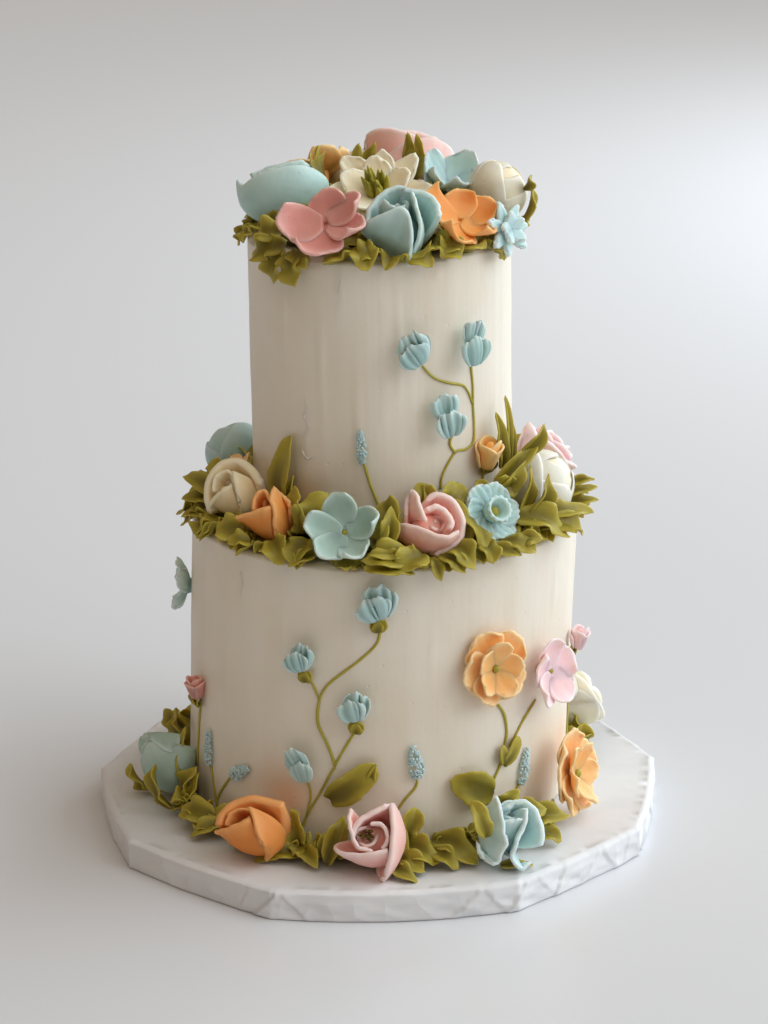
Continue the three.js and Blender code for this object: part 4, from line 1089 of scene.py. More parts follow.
LEDGE_LEAVES = [
    ((-46, 56, 13), (-45, 55.3, 42), 13, 5, UPRIGHT), ((-42, 57, 15), (-40, 56, 27), 5, 5, BLADE),
    ((-28, 68, 8), (-39, 60, 21), 13, 25, BROAD), ((-28, 67, 8), (-23, 60, 23), 16, 20, BROAD),
    ((-36, 75, 6), (-27, 84, 1), 12, 50, BROAD), ((-24, 74, 8), (-24, 85, 1), 13, 50, BROAD),
    ((-20, 79, 4), (-26, 86, 1), 7, 50, POINTED), ((-42, 79, 4), (-46, 86, 4), 9, 50, BROAD),
    ((-46, 76, 6), (-54, 83, 5), 13, 40, BROAD), ((-76, 68, 12), (-82, 82, 18), 9, 30, POINTED),
    ((-76, 70, 8), (-80, 83, 9), 10, 30, POINTED), ((-74, 72, 4), (-78, 84, 2), 9, 30, POINTED),
    ((-66, 76, 3), (-64, 84, 0), 11, 40, BROAD), ((0, 78, 8), (3, 70, 22), 9, 20, POINTED),
    ((-4, 80, 7), (1, 75, 17), 7, 20, POINTED), ((6, 80, 6), (-5, 84, 7), 10, 40, BROAD),
    ((6, 82, 3), (-6, 87, 4), 10, 45, BROAD), ((7, 84, 0), (-5, 87, 0), 9, 50, BROAD),
    ((4, 72, 12), (-2, 60, 20), 14, 10, BROAD), ((16, 62, 16), (12, 57, 27), 11, 10, BROAD),
    ((20, 62, 14), (28, 57, 26), 15, 10, BROAD), ((17, 63, 17), (14.5, 60, 27), 5, 15, BLADE),
    ((22, 78, 6), (25, 66, 21), 11, 20, POINTED), ((28, 66, 17), (29, 84, 5), 13, 35, BROAD),
    ((18, 78, 8), (24, 87, 1), 12, 40, BROAD), ((28, 79, 7), (29, 88, 1), 10, 40, BROAD),
    ((29, 82, 5), (37, 88, 1), 7, 40, POINTED), ((34, 79, 6), (42, 87, 3), 11, 40, BROAD),
    ((39, 81, 5), (44, 88, 8), 7, 30, BROAD), ((44, 72, 11), (57, 86, 4), 14, 40, BROAD),
    ((54, 74, 9), (67, 90, 6), 10, 45, POINTED), ((50, 77, 6), (63, 88, 2), 12, 50, BROAD),
    ((72, 76, 15), (75, 88, 17), 5, 30, POINTED), ((72, 76, 11), (76, 88, 13), 5, 30, POINTED),
    ((72, 77, 7), (75, 89, 8), 6, 30, POINTED), ((47, 70, 10), (52, 74, 31), 7, 10, POINTED),
    ((50, 73, 9), (56, 79, 27), 11, 10, POINTED), ((45, 60, 20), (66, 68, 36), 8, 40, POINTED),
    ((46, 62, 17), (56, 68, 29), 8, 30, POINTED), ((56, 57.5, 26), (57, 57, 55), 5, 5, BLADE),
    ((53, 57.5, 26), (50.5, 57, 49), 8, 5, BLADE), ((59, 58, 26), (60, 57.5, 45), 5, 5, BLADE),
    ((58, 61, 30), (65, 71, 43), 10, 20, POINTED), ((52, 66, 20), (44, 62, 22), 10, 10, BROAD),
    ((13, 82, 4), (14, 86, -4), 6, 30, POINTED), ((11, 80, 6), (3, 87, 1), 13, 40, BROAD),
    ((15, 81, 5), (21, 87, 0), 9, 45, BROAD), ((40, 60, 14), (38, 57, 24), 9, 10, BROAD),
]
FOOT_LEAVES = [
    ((-80, 95, 2), (-82, 104, 12), 11, 20, BROAD), ((-84, 81, 26), (-88, 90, 29), 8, 30, BROAD),
    ((-79, 81.5, 24), (-84, 84, 34), 9, 20, BROAD), ((-68, 83, 4), (-72, 82, 32), 11, 5, POINTED),
    ((-66, 84, 2), (-64, 82.5, 21), 12, 10, BROAD), ((-65, 93, 3), (-69, 98, 21), 10, 15, BROAD),
    ((-60, 85, 2), (-62, 83, 18), 9, 10, BROAD), ((-48, 87, 6), (-58, 95, 4), 13, 50, BROAD),
    ((-45, 87, 5), (-50, 99, 1), 9, 45, POINTED), ((-20, 86, 2), (-24, 84, 18), 10, 15, BROAD),
    ((-20, 89, 2), (-30, 98, 1), 9, 50, POINTED), ((-19, 89, 4), (-14, 99, 1), 9, 50, POINTED),
    ((-12, 97, 2), (-8, 84, 18), 9, 20, POINTED), ((-14, 92, 2), (-11, 84, 14), 8, 20, BROAD),
    ((7, 87, 8), (10, 83, 21), 10, 15, BROAD), ((6, 92, 5), (7, 90, 15), 6, 20, BLADE),
    ((1, 98, 2), (9, 105, 0), 8, 55, BROAD), ((3, 93, 4), (11, 100, 2), 11, 55, BROAD),
    ((6, 87, 6), (15, 97, 3), 13, 50, BROAD), ((13, 91, 5), (19, 101, 1), 9, 50, BROAD),
    ((15, 85, 6), (24, 99, 2), 14, 50, BROAD), ((24, 87, 3), (27, 96, 4), 9, 40, BROAD),
    ((24, 105, 14), (20, 104, 29), 9, 20, BROAD), ((37, 87, 10), (45, 96, 15), 11, 40, BROAD),
    ((39, 89, 8), (50, 101, 8), 12, 45, POINTED), ((39, 93, 4), (46, 103, 2), 9, 50, BROAD),
    ((35, 83, 15), (40, 88, 22), 8, 30, BROAD), ((27, 107, 1), (33, 112, 0), 5, 55, POINTED),
    ((92, 82, 18), (98, 93, 28), 13, 20, BROAD), ((88, 82, 14), (91, 91, 21), 11, 20, BROAD),
    ((96, 82, 26), (102, 91, 34), 10, 20, BROAD), ((91, 91, 4), (94, 101, 8), 10, 30, BROAD),
]


def placed_leaves(shape, table, sector, level, middle_x):
    """The leaves of a table that stand within a sector of azimuths."""
    for seed, (start, end, width, looks_up, look) in enumerate(table):
        if not sector[0] <= (start[0] - sector[0]) % 360 + sector[0] < sector[1]:
            continue
        base = on_circle(start[0], start[1], level + start[2], middle_x)
        tip = on_circle(end[0], end[1], level + end[2], middle_x)
        leaf(shape, base, tip, direction((start[0] + end[0]) / 2, looks_up), PLACED_WIDTH * width,
             seed=seed + 500, **look)


def on_circle(azimuth, out, height, middle_x):
    """A point a distance out, at an azimuth, from the upright axis at middle_x."""
    place = direction(azimuth) * out
    return np.array([place[0] + middle_x, place[1], height])


def flower_places():
    """Name, middle, frame and size of every flower."""
    return [(name, flower_middle(name), flower_frame(azimuth, lift), size)
            for name, (form, colour, azimuth, lift, size, spin) in FLOWERS.items()]


def clear_of_flowers(point, flowers):
    """Whether a point stands in front of no flower and inside none."""
    for name, middle, basis, size in flowers:
        local = (point - middle) @ basis
        if local[2] > -0.35 * size and np.linalg.norm(local * [1, 1, 0.8]) < 0.85 * size:
            return False
    return True


# Flowers that leaves may stand in front of
OVERLAID = ("ledge_bud_cream", "foot_rose_blue", "crown_rose_cream")


def tuck(shape, flowers):
    """Sinks the leaves where they would come out through a flower. The mound stays as it is."""
    for name, middle, basis, size in flowers:
        if name in OVERLAID:
            continue
        for count in range(1, len(shape.points)):
            local = (shape.points[count] - middle) @ basis
            out = np.hypot(local[:, 0], local[:, 1]) / size
            limit = (-0.62 + 8 * np.clip(out - 0.78, 0, None)) * size
            sunk = limit + 0.12 * (local[:, 2] - limit)
            inside = (out < 1) & (local[:, 2] > limit) & (local[:, 2] < 1.1 * size)
            local[:, 2] = np.where(inside, sunk, local[:, 2])
            shape.points[count] = local @ basis.T + middle


def bed_leaf(shape, flowers, azimuth, out, height, middle_x, heading, lift, length, width, random):
    """One leaf of a bed, left out where a flower is in its way. heading is counted from outwards."""
    base = on_circle(azimuth, out, height, middle_x)
    tip = base + direction(azimuth + heading, lift) * length
    if not (clear_of_flowers(tip, flowers) and clear_of_flowers((base + tip) / 2, flowers)):
        return
    steep = math.radians(lift)
    facing = np.array([0, 0, 1.0]) * math.cos(steep) - direction(azimuth + heading) * math.sin(steep)
    if lift > 55:
        facing = -facing
    facing = facing + 0.35 * random.uniform(-1, 1, 3)
    fold, ruffle, bulge = random.uniform(0.3, 0.9), random.uniform(0.1, 0.3), random.uniform(0.05, 0.22)
    count, curl, sharp = random.uniform(1.4, 2.6), random.uniform(-0.2, 0.2), random.uniform(0.42, 0.75)
    leaf(shape, base, tip, facing, width, seed=int(random.integers(1e6)), fold=fold, ruffle=ruffle,
         bulge=bulge, count=count, curl=curl, outline=(0.5, sharp), veins=0.045)


# The kinds of beds: the tier, whether the bed lies at its top or its foot, the leaves set one by one, and
# how far out the mound under them begins and ends and how high it is. Scattered leaves stand in rows,
# every step degrees from first: out from the wall, height above the bed, greatest heading, lift,
# length and width. Past the azimuth back there are further rows. stray is how far the azimuth, the
# distance out and the lift may differ, and the shares that the length is drawn from. inner is the
# number of leaves scattered over the middle.
BEDS = {
    "ledge": dict(
        tier=BOTTOM, on_top=True, placed=LEDGE_LEAVES, mound=lambda wall: (56, wall - 6, 4.0),
        first=3, step=7.0, back=80, inner=0,
        rows=[(-11, 3, 55, -6, 14, 10), (-9, 2, 80, -10, 13, 9), (-14, 3, 80, 14, 14, 10),
              (-20, 4, 150, 20, 15, 11)],
        back_rows=[(-18, 5, 150, 35, 17, 13), (-23, 4, 60, 58, 17, 11)],
        stray=(3, (-2, 2), (-9, 9), (0.85, 1.15))),
    "foot": dict(
        tier=BOTTOM, on_top=False, placed=FOOT_LEAVES, mound=lambda wall: (wall + 1, wall + 8, 3.0),
        first=3, step=8.0, back=98, inner=0,
        rows=[(3, 2, 60, 4, 14, 10), (3, 2, 90, 16, 13, 9)],
        back_rows=[(4, 3, 90, 30, 16, 12), (3, 3, 60, 62, 17, 11)],
        stray=(3, (-1, 2), (-4, 8), (0.8, 1.15))),
    "crown": dict(
        tier=TOP, on_top=True, placed=CROWN_LEAVES, mound=lambda wall: (1, wall - 8, 4.0),
        first=0, step=10.0, back=80, inner=60,
        rows=[(-17, 3, 110, 2, 13, 10)],
        back_rows=[(-14, 3, 60, -4, 14, 10), (-18, 4, 80, 10, 14, 10), (-9, 3, 70, -30, 14, 12),
                   (-26, 5, 150, 50, 16, 11)],
        stray=(4, (-2, 2), (-9, 9), (0.85, 1.15))),
}


def leaf_bed(name, kind, sector, flowers, material, seed):
    """The leaves of one bed of the table, within a sector of azimuths."""
    shape = Shape()
    random = np.random.default_rng(seed)
    bed = BEDS[kind]
    tier, lean = bed["tier"]
    low, high = node_box(tier)
    radius, level = (high[1] - low[1]) / 2, (high if bed["on_top"] else low)[2]
    touches_right = bed["on_top"] == (lean > 0)
    middle_x = high[0] - radius if touches_right else low[0] + radius
    mound(shape, sector, middle_x, level, *bed["mound"](radius), seed)
    placed_leaves(shape, bed["placed"], sector, level, middle_x)
    stray, outs, lifts, lengths = bed["stray"]
    for azimuth in np.arange(sector[0] + bed["first"], sector[1], bed["step"]):
        further = bed["back_rows"] if abs(azimuth) > bed["back"] else []
        for out, height, heading, lift, length, width in bed["rows"] + further:
            bed_leaf(shape, flowers, azimuth + random.uniform(-stray, stray),
                     radius + out + random.uniform(*outs), level + height, middle_x,
                     random.uniform(-heading, heading), lift + random.uniform(*lifts),
                     length * random.uniform(*lengths), width * random.uniform(0.85, 1.2), random)
    for _ in range(bed["inner"]):
        bed_leaf(shape, flowers, random.uniform(-180, 180), 34 * random.uniform(0, 1) ** 0.5, level + 4,
                 middle_x, random.uniform(-180, 180), random.uniform(30, 75),
                 random.uniform(11, 15), random.uniform(7, 10), random)
    tuck(shape, flowers)
    make_piece(name + "_leaves", shape, material, [name])


def mound(shape, sector, middle_x, level, inner, outer, height, seed):
    """The low uneven mound under a bed of leaves."""
    def point(u, v):
        azimuth = np.radians(sector[0] + 0.5 + (sector[1] - sector[0] - 1.0) * v)
        out = (inner + outer) / 2 + u * (outer - inner) / 2
        rise = level + 0.6 + height / 2 + 0.5 * waves(azimuth * 20, seed) * (1 - np.abs(u))
        return np.stack([middle_x + out * np.sin(azimuth), -out * np.cos(azimuth), rise], 2)

    steps = max(12, int((sector[1] - sector[0]) / 3))
    # With an edge value of 0 all over, the mound takes the leaves' painted shade everywhere.
    sheet(shape, point, lambda u, v: height * (1 - 0.5 * u ** 2), steps, 9, 0.0, lambda u, v: 0 * u)


# ---------------------------------------------------------------- tiers and board

def tier_line(name, lean):
    """The tier's foot and top heights, radius, and the middle's x at a height."""
    low, high = node_box(name)
    radius = (high[1] - low[1]) / 2
    middle = (low[0] + high[0]) / 2
    return low[2], high[2], radius, lambda z: middle + lean * ((z - low[2]) / (high[2] - low[2]) - 0.5)


def wall_wave(turn, level, seed):
    """The broad unevenness of a hand-smoothed wall, in mm."""
    push = 0.28 * waves(3 * turn + 1.5 * level, seed, 2) + 0.12 * np.sin(9 * turn + 4 * level)
    return push + 0.1 * waves(7 * turn + 3 * np.sin(5 * level), seed + 2) - 0.45


def on_wall(tier, azimuth, height, out=0.0):
    """A point on a tier's wall, out mm proud of it."""
    foot, top, radius, middle = tier_line(*tier)
    push = wall_wave(math.radians(azimuth % 360), (height - foot) / (top - foot), WALL_SEEDS[tier[0]])
    return on_circle(azimuth, radius + push + out, height, middle(height))


# Small ridges on the walls: azimuth, height, half width in degrees, half height and depth in mm
WRINKLES = {
    "tier_bottom": [(-45, 118, 1.6, 5, 0.5), (20, 122, 3.0, 2, 0.5), (60, 110, 1.2, 8, 0.4),
                    (-30, 104, 1.2, 9, 0.35), (14, 96, 1.2, 12, 0.3), (-52, 80, 1.4, 14, 0.3),
                    (-12, 128, 5, 1.5, 0.5), (36, 127, 4, 1.5, 0.5), (150, 100, 1.4, 10, 0.5)],
    "tier_top": [(-34, 178, 2.2, 12, 0.4), (-17, 238, 2.0, 9, 0.5), (-24, 150, 3, 3, 0.5),
                 (25, 243, 2.5, 2, 0.6), (-30, 244, 6, 1.4, 0.9), (5, 245, 6, 1.2, 0.7),
                 (-45, 222, 1.6, 12, 0.7), (8, 214, 1.6, 16, 0.4), (-10, 186, 2.2, 22, 0.4),
                 (-26, 205, 2.2, 26, 0.5), (120, 200, 1.4, 9, 0.8)],
}
# Thin ridges where the scraper lifted the icing: points (azimuth, height) and their half width in mm
RIDGES = {
    "tier_bottom": [([(-46, 124), (-45, 119), (-46, 114)], 0.8),
                    ([(150, 108), (151, 101), (149.5, 95)], 0.8)],
    "tier_top": [([(-34.6, 191), (-33.6, 187), (-35, 184.5), (-32.8, 181), (-33.8, 178),
                   (-35.9, 175)], 0.8),
                 ([(-36.3, 172.5), (-36, 169), (-33.6, 167), (-31, 168)], 0.75),
                 ([(-17.2, 244), (-16.2, 240), (-17, 237), (-15.8, 232)], 0.75),
                 ([(118, 206), (119, 200), (117.5, 194)], 0.8)],
}
# An orange tint on the icing beside orange flowers: azimuth, height, half width in degrees, half
# height in mm and strength
ORANGE_TINT_COLOUR = "#e9b98a"
ORANGE_TINTS = {
    "tier_bottom": [(-27, 34, 9, 10, 1), (72, 38, 6, 10, 1), (36, 80, 8, 9, 1)],
    "tier_top": [(-36, 150, 9, 9, 1)],
}


def degrees_from(azimuth, where):
    """How far azimuths lie from another, between -180 and 180."""
    return (azimuth - where + 180) % 360 - 180


def soft_bumps(azimuth, height, places):
    """The sum of rounded bumps, each with its middle, half width, half height and amount."""
    total = np.zeros_like(azimuth)
    for where, level, wide, tall, amount in places:
        across = degrees_from(azimuth, where) / wide
        total += amount * np.exp(-across ** 2 - ((height - level) / tall) ** 2)
    return total


def make_tier(tier, material):
    """A tier with a hand-smoothed wall: broad waves, scraper marks, wrinkles and an uneven rim."""
    name = tier[0]
    foot, top, radius, middle = tier_line(*tier)
    seed, steps = WALL_SEEDS[name], TIER_STEPS
    turn = np.linspace(0, 2 * np.pi, steps, endpoint=False)
    azimuth = np.degrees(turn)
    # Distance out, height, and the share of the unevenness
    profile = [(radius, foot + (top - TIER_RIM - foot) * k / 56, 1.0) for k in range(57)]
    for k in range(1, 7):
        bend = math.pi / 2 * k / 6
        profile.append((radius - TIER_RIM + TIER_RIM * math.cos(bend),
                        top - TIER_RIM + TIER_RIM * math.sin(bend), 1.0 - 0.7 * k / 6))
    profile += [(radius * share, top, 0.2) for share in (0.9, 0.75, 0.55, 0.3)]
    random = np.random.default_rng(seed)
    streaks = np.convolve(np.tile(random.normal(0, 1, steps), 3), np.ones(5) / 5, "same")[steps:2 * steps]
    rings, tint_values = [], []
    for reach, height, share in profile:
        level = (height - foot) / (top - foot)
        push = wall_wave(turn, level, seed) + 0.07 * streaks
        push = push + share * soft_bumps(azimuth, height, WRINKLES[name])
        ragged = 0.6 * waves(14 * turn, seed + 1) * np.clip((level - 0.9) / 0.1, 0, 1)
        out = reach + share * push
        rise = height + share * 0.6 * ragged - (0.25 if level > 0.99 else 0)
        rings.append(np.stack([
            middle(height) + out * np.sin(turn), -out * np.cos(turn), rise * np.ones(steps)], 1))
        tint_values.extend(np.clip(soft_bumps(azimuth, height, ORANGE_TINTS[name]), 0, 1))
    shape = Shape()
    closed_rings(shape, rings, (middle(foot), 0, foot), (middle(top), 0, top - 0.3), [0, *tint_values, 0])
    for line, thick in RIDGES[name]:
        count = 5 * len(line)
        radii = thick * np.sin(np.linspace(0.25, np.pi - 0.25, count)) ** 0.6
        radii = radii * (1 + 0.25 * waves(np.arange(count), seed))
        tube(shape, [on_wall(tier, *place, -0.2) for place in smooth_line(line, count)], radii)
    make_piece(name + "_icing", shape, material, [name])


# The board: azimuths of its corners, distances out of its sides and corners, and its rounded edge
BOARD_CORNERS = [-96, -58, -21, 27, 62, 99, 131, 163, 201, 233, 264]
BOARD_SIDE = 116.5
BOARD_CORNER = 121.0
BOARD_EDGE = 1.8
# Folds of the wrap on the board's side: azimuth, width and slant in degrees, depth in mm
BOARD_FOLDS = [
    (-92, 6, 3, 0.9), (-80, 5, -4, 0.7), (-71, 4, 3, 1.0), (-62, 7, 5, 0.8), (-48, 9, -3, 0.5),
    (-27, 5, 3, 0.7), (-22, 6, 6, 1.9), (-17, 4, -6, 1.0), (17, 5, 7, 0.9), (22, 7, -5, 0.8),
    (27, 4, 5, 1.3), (34, 3, -6, 0.6), (38, 6, 4, 1.2), (47, 4, 7, 0.8), (52, 6, -5, 1.1),
    (58, 3, 2, 0.7), (67, 8, 6, 1.5), (78, 5, -4, 0.9), (90, 6, 4, 1.1), (104, 6, 4, 1.0),
    (116, 5, -4, 0.8), (130, 8, 6, 1.4), (143, 5, -3, 0.8), (156, 5, 4, 0.5), (169, 8, -4, 1.3),
    (182, 5, 3, 0.6), (197, 6, 5, 1.2), (210, 5, -4, 0.9), (226, 9, 4, 1.0), (238, 4, -4, 0.9),
    (252, 6, 4, 1.1),
]


def board_outline(azimuth):
    """How far out the board's edge lies at each azimuth."""
    turned_by = (azimuth - BOARD_CORNERS[0]) % 360 + BOARD_CORNERS[0]
    corners = np.array(BOARD_CORNERS, float)
    side = np.clip(np.searchsorted(corners, turned_by, side="right"), 1, len(corners) - 1)
    along = (turned_by - corners[side - 1]) / (corners[side] - corners[side - 1])
    bow = np.sin(np.pi * np.clip(along, 0, 1)) ** 0.7
    return BOARD_CORNER + (BOARD_SIDE - BOARD_CORNER) * bow


def fold_push(azimuth, level):
    """How far the wrap's folds stand out at a share of the board's thickness."""
    push = np.zeros_like(azimuth)
    for where, wide, slant, depth in BOARD_FOLDS:
        across = degrees_from(azimuth, where + slant * (level - 0.5)) / wide
        push += np.where(across > 0, depth * np.clip(1 - across, 0, 1) ** 1.4, 0)
        push -= np.where((across <= 0) & (across > -0.15), 0.2 * depth * (1 + across / 0.15), 0)
    return push


def crumple(azimuth, level):
    """Flat facets with sharp edges, as in creased paper, in mm."""
    total = np.zeros_like(azimuth)
    for count, slant, depth in ((17, 1.3, 0.3), (31, -1.9, 0.26), (53, 2.3, 0.17)):
        place = count * azimuth / 360 + slant * level + 0.4 * np.sin(np.radians(3 * azimuth) + count)
        total += depth * (2 * np.abs(2 * (place % 1) - 1) - 1)
    busy = 0.55 + 0.6 * np.exp(-(degrees_from(azimuth, 38) / 45) ** 2)
    return busy * total


def make_board(material):
    """The board in its wrap: an underside, folded and creased sides, a rounded edge and a top."""
    low, high = node_box("board")
    thickness = high[2] - low[2]
    steps = BOARD_STEPS
    turn = np.linspace(0, 2 * np.pi, steps, endpoint=False)
    azimuth = np.degrees(turn)
    outline = board_outline(azimuth)
    shape = Shape()
    rings = [(outline * share, np.full(steps, low[2])) for share in (0.5, 0.96)]
    for level in [0, 0.03, *np.linspace(0.1, 0.78, 11)]:
        out = outline - 1.2 + fold_push(azimuth, level) * min(1, 0.4 + 2 * level) * (1 - 0.55 * level)
        out = out + crumple(azimuth, level) * math.sin(math.pi * (0.12 + 1.08 * level))
        out = out - 0.5 * (level == 0)
        rings.append((out, np.full(steps, low[2] + level * thickness)))
    for k in range(5):
        bend = math.pi / 2 * (k + 1) / 5
        out = outline - 1.0 - BOARD_EDGE * (1 - math.cos(bend)) - 0.3 * k
        out = out + fold_push(azimuth, 0.8) * 0.4 * (1 - k / 5)
        rise = high[2] - 0.1 - BOARD_EDGE * (1 - math.sin(bend)) - 0.18 * np.abs(waves(23 * turn, 5))
        rings.append((out, rise))
    for share in (0.965, 0.93, 0.88, 0.82, 0.75, 0.66, 0.5, 0.25):
        ripple = 0.16 * waves(17 * turn, 8) * (share - 0.6) if share > 0.6 else 0
        rings.append((outline * share, high[2] - 0.22 + ripple * np.ones(steps)))
    side = np.clip((len(rings) - 12 - np.arange(len(rings))) / 5, 0, 1)
    rings = [np.stack([out * np.sin(turn), -out * np.cos(turn), rise], 1) for out, rise in rings]
    closed_rings(shape, rings, (0, 0, low[2]), (0, 0, high[2] - 0.2), [0, *np.repeat(side, steps), 0])
    make_piece("board_wrapped", shape, material, ["board"])


# ---------------------------------------------------------------- what lies on the walls

# Stems on the lower tier and the upper one, as (azimuth, height) points, with their radius
LOW_STEMS = [
    ([(-24, 14), (-21, 27), (-17, 38), (-14, 47), (-13, 50), (-15, 58), (-18, 66), (-18.5, 71),
      (-18, 77), (-17, 81), (-15, 85), (-11, 90), (-6, 96), (-2, 102), (-1, 107)], 0.7),
    ([(-18, 77), (-19.5, 82), (-21.5, 86.5)], 0.6),
    ([(-13, 50), (-10.5, 57), (-7.4, 65)], 0.65),
    ([(-21, 27), (-20, 37), (-22, 45)], 0.6),
    ([(34, 73), (38, 66), (39.5, 58), (39, 52), (38, 45), (34, 34), (32, 26)], 0.7),
    ([(52, 66), (46, 59), (41, 50)], 0.7),
    ([(46, 33), (42, 25), (40, 18)], 0.65),
    ([(11, 46), (10.5, 41), (7, 35), (4, 27)], 0.65),
    ([(-60, 36), (-57, 23), (-55, 16)], 0.65),
    ([(-48, 37), (-55, 24), (-56, 16)], 0.65),
    ([(-68, 60), (-69, 46), (-70, 30)], 0.7),
    ([(75, 76), (79, 60), (82, 40), (80, 22)], 0.65),
    ([(-155, 75), (-158, 58), (-153, 42), (-150, 20)], 0.7),
    ([(165, 66), (168, 54), (163, 40), (160, 20)], 0.7),
    ([(-120, 62), (-123, 45), (-119, 30), (-120, 16)], 0.7),
    ([(125, 70), (129, 55), (124, 38), (126, 18)], 0.7),
]
HIGH_STEMS = [
    ([(26, 155), (27, 161), (33, 169), (39, 169.5), (43, 172), (43.5, 179), (43, 187), (43, 195),
      (42, 203)], 0.65),
    ([(43, 187), (40, 193), (37, 196), (30, 198), (23, 201), (18, 206)], 0.6),
    ([(33, 169), (30.5, 173), (32, 178)], 0.7),
    ([(-8, 169), (-5, 159), (-1, 149)], 0.65),
    ([(50, 162), (48, 150)], 0.7),
    ([(150, 150), (154, 165), (149, 180), (153, 198)], 0.6),
    ([(153, 182), (160, 192)], 0.65),
    ([(-130, 150), (-127, 166), (-132, 184), (-129, 200)], 0.6),
    ([(-131, 178), (-138, 190)], 0.65),
]
# Heads of tiny beads: tier, foot azimuth and height, tip azimuth and height, greatest half width
BEAD_HEADS = [
    (BOTTOM, -60, 35, -60.5, 50, 2.6), (BOTTOM, -48, 36, -41, 42, 3.0), (BOTTOM, 11, 45, 9, 59, 3.2),
    (BOTTOM, 46, 32, 48, 47, 2.6), (TOP, -8, 168, -9, 181, 2.0),
    (BOTTOM, -120, 61, -121, 75, 2.8), (BOTTOM, 125, 69, 124, 83, 2.8),
    (TOP, 153, 197, 152, 210, 2.2), (TOP, -129, 199, -128, 212, 2.2),
]
# Calyxes under the small flowers: tier, azimuth, height, size
CALYXES = [
    (BOTTOM, -1.5, 110.8, 2.6), (BOTTOM, -21.8, 87.8, 2.5), (BOTTOM, -6.8, 68.0, 2.6),
    (BOTTOM, -68, 61, 3.2), (TOP, 50, 162, 3.6), (BOTTOM, 75, 77, 3.0), (TOP, 160, 193, 3.0),
    (TOP, -138, 191, 3.0),
]


def make_stems(material):
    """Stems that lie on both walls, a little uneven in thickness."""
    shape = Shape()
    for tier, stems in ((BOTTOM, LOW_STEMS), (TOP, HIGH_STEMS)):
        for seed, (points, radius) in enumerate(stems):
            count = 6 * len(points)
            line = [on_wall(tier, *place, 0.25) for place in smooth_line(points, count)]
            tube(shape, line, 0.85 * radius * (1 + 0.12 * waves(np.linspace(0, 9, count), seed)))
    make_piece("stems", shape, material)


# The rings of a bead of radius 1
BEAD = np.array([(0.7, -0.7), (1, 0), (0.7, 0.7)])
BEADS_IN_HEAD = 105


def make_bead_heads(material):
    """Spikes of tiny beads, as grape hyacinths have."""
    shape = Shape()
    for seed, (tier, azimuth, height, tip_azimuth, tip_height, wide) in enumerate(BEAD_HEADS):
        random = np.random.default_rng(seed + 50)
        foot, tip = on_wall(tier, azimuth, height, 1.1), on_wall(tier, tip_azimuth, tip_height, 1.1)
        outward = direction((azimuth + tip_azimuth) / 2)
        across = unit(np.cross(outward, tip - foot))
        for _ in range(BEADS_IN_HEAD):
            along = random.uniform(0, 1)
            half = wide * min(1, 0.45 + 2.2 * along) * (1 - 0.75 * along ** 2)
            turn = random.uniform(-0.1, math.pi + 0.1)
            place = foot + (tip - foot) * along + half * (
                math.cos(turn) * across + 0.6 * math.sin(turn) * outward)
            radius = random.uniform(0.48, 0.72)
            turned(shape, radius * BEAD, -radius, radius, 8, middle=place, tone=random.uniform(0, 1))
    make_piece("bead_heads", shape, material)


# Leaves on the walls: tier, (azimuth, height, mm proud) of the base and of the tip, width, form
SMOOTH = dict(fold=0.24, ruffle=0.04, bulge=0.12, count=1.5, thick=1.5, outline=(0.5, 0.45), veins=0.07)
WALL_LEAVES = [
    (BOTTOM, (-14, 36, 1.0), (-1, 51, 2.2), 12.5, SMOOTH),
    (BOTTOM, (35, 33, 1.2), (20, 43, 1.6), 14.0, SMOOTH),
    (BOTTOM, (38, 44, 1.2), (43, 54, 1.8), 6.0, SMOOTH),
    (BOTTOM, (38, 44, 1.2), (37, 53, 1.6), 4.5, SMOOTH),
    (BOTTOM, (-3, 44, 2.2), (-1, 53, 3.4), 3.2, BLADE),
]
SEPAL = dict(fold=0.3, ruffle=0.04, bulge=0.12, count=1.0, thick=1.1, outline=(0.5, 0.4),
             rows=11, columns=9)


def make_wall_leaves(material):
    """Calyxes, and the leaves that lie on the walls."""
    shape = Shape()
    for seed, (tier, azimuth, height, size) in enumerate(CALYXES):
        outward = direction(azimuth)
        base = on_wall(tier, azimuth, height - 1.2 * size, 1.0)
        for k, side in enumerate((-45, 0, 45)):
            tip = base + size * 1.9 * np.array([0, 0, 1.0]) + size * side / 55 * direction(azimuth + 90)
            tip = tip + outward * size * (0.9 - abs(side) / 80)
            leaf(shape, base, tip, outward, size * 1.7, seed=seed * 5 + k, **SEPAL)
    for seed, (tier, start, end, width, settings) in enumerate(WALL_LEAVES):
        base, tip = on_wall(tier, *start), on_wall(tier, *end)
        leaf(shape, base, tip, direction((start[0] + end[0]) / 2), width, seed=seed + 300, **settings)
    make_piece("wall_leaves", shape, material)


# ---------------------------------------------------------------- camera, light and floor

def make_camera():
    """The camera in front of the cake, pitched down and rolled a little."""
    pitch, roll = math.radians(PITCH), math.radians(ROLL)
    forward = Vector((0, math.cos(pitch), -math.sin(pitch)))
    right = Vector((1, 0, 0))
    up = right.cross(forward)
    tilted_right = right * math.cos(roll) + up * math.sin(roll)
    tilted_up = -right * math.sin(roll) + up * math.cos(roll)
    camera = add_object("camera", bpy.data.cameras.new("camera"))
    turn = Matrix((tilted_right, tilted_up, -forward)).transposed().to_4x4()
    camera.matrix_world = Matrix.Translation((Vector(AIM) - forward * DISTANCE) * MM) @ turn
    camera.data.sensor_fit = "VERTICAL"
    camera.data.sensor_height = SENSOR
    camera.data.lens = LENS
    camera.data.clip_end = 20
    bpy.context.scene.camera = camera


def add_light(name, kind, power, colour, way):
    """A light that shines along a way."""
    light = bpy.data.lights.new(name, kind)
    light.energy, light.color = power, colour
    lamp = add_object(name, light)
    lamp.rotation_euler = Vector(way).to_track_quat("-Z", "Y").to_euler()
    return lamp


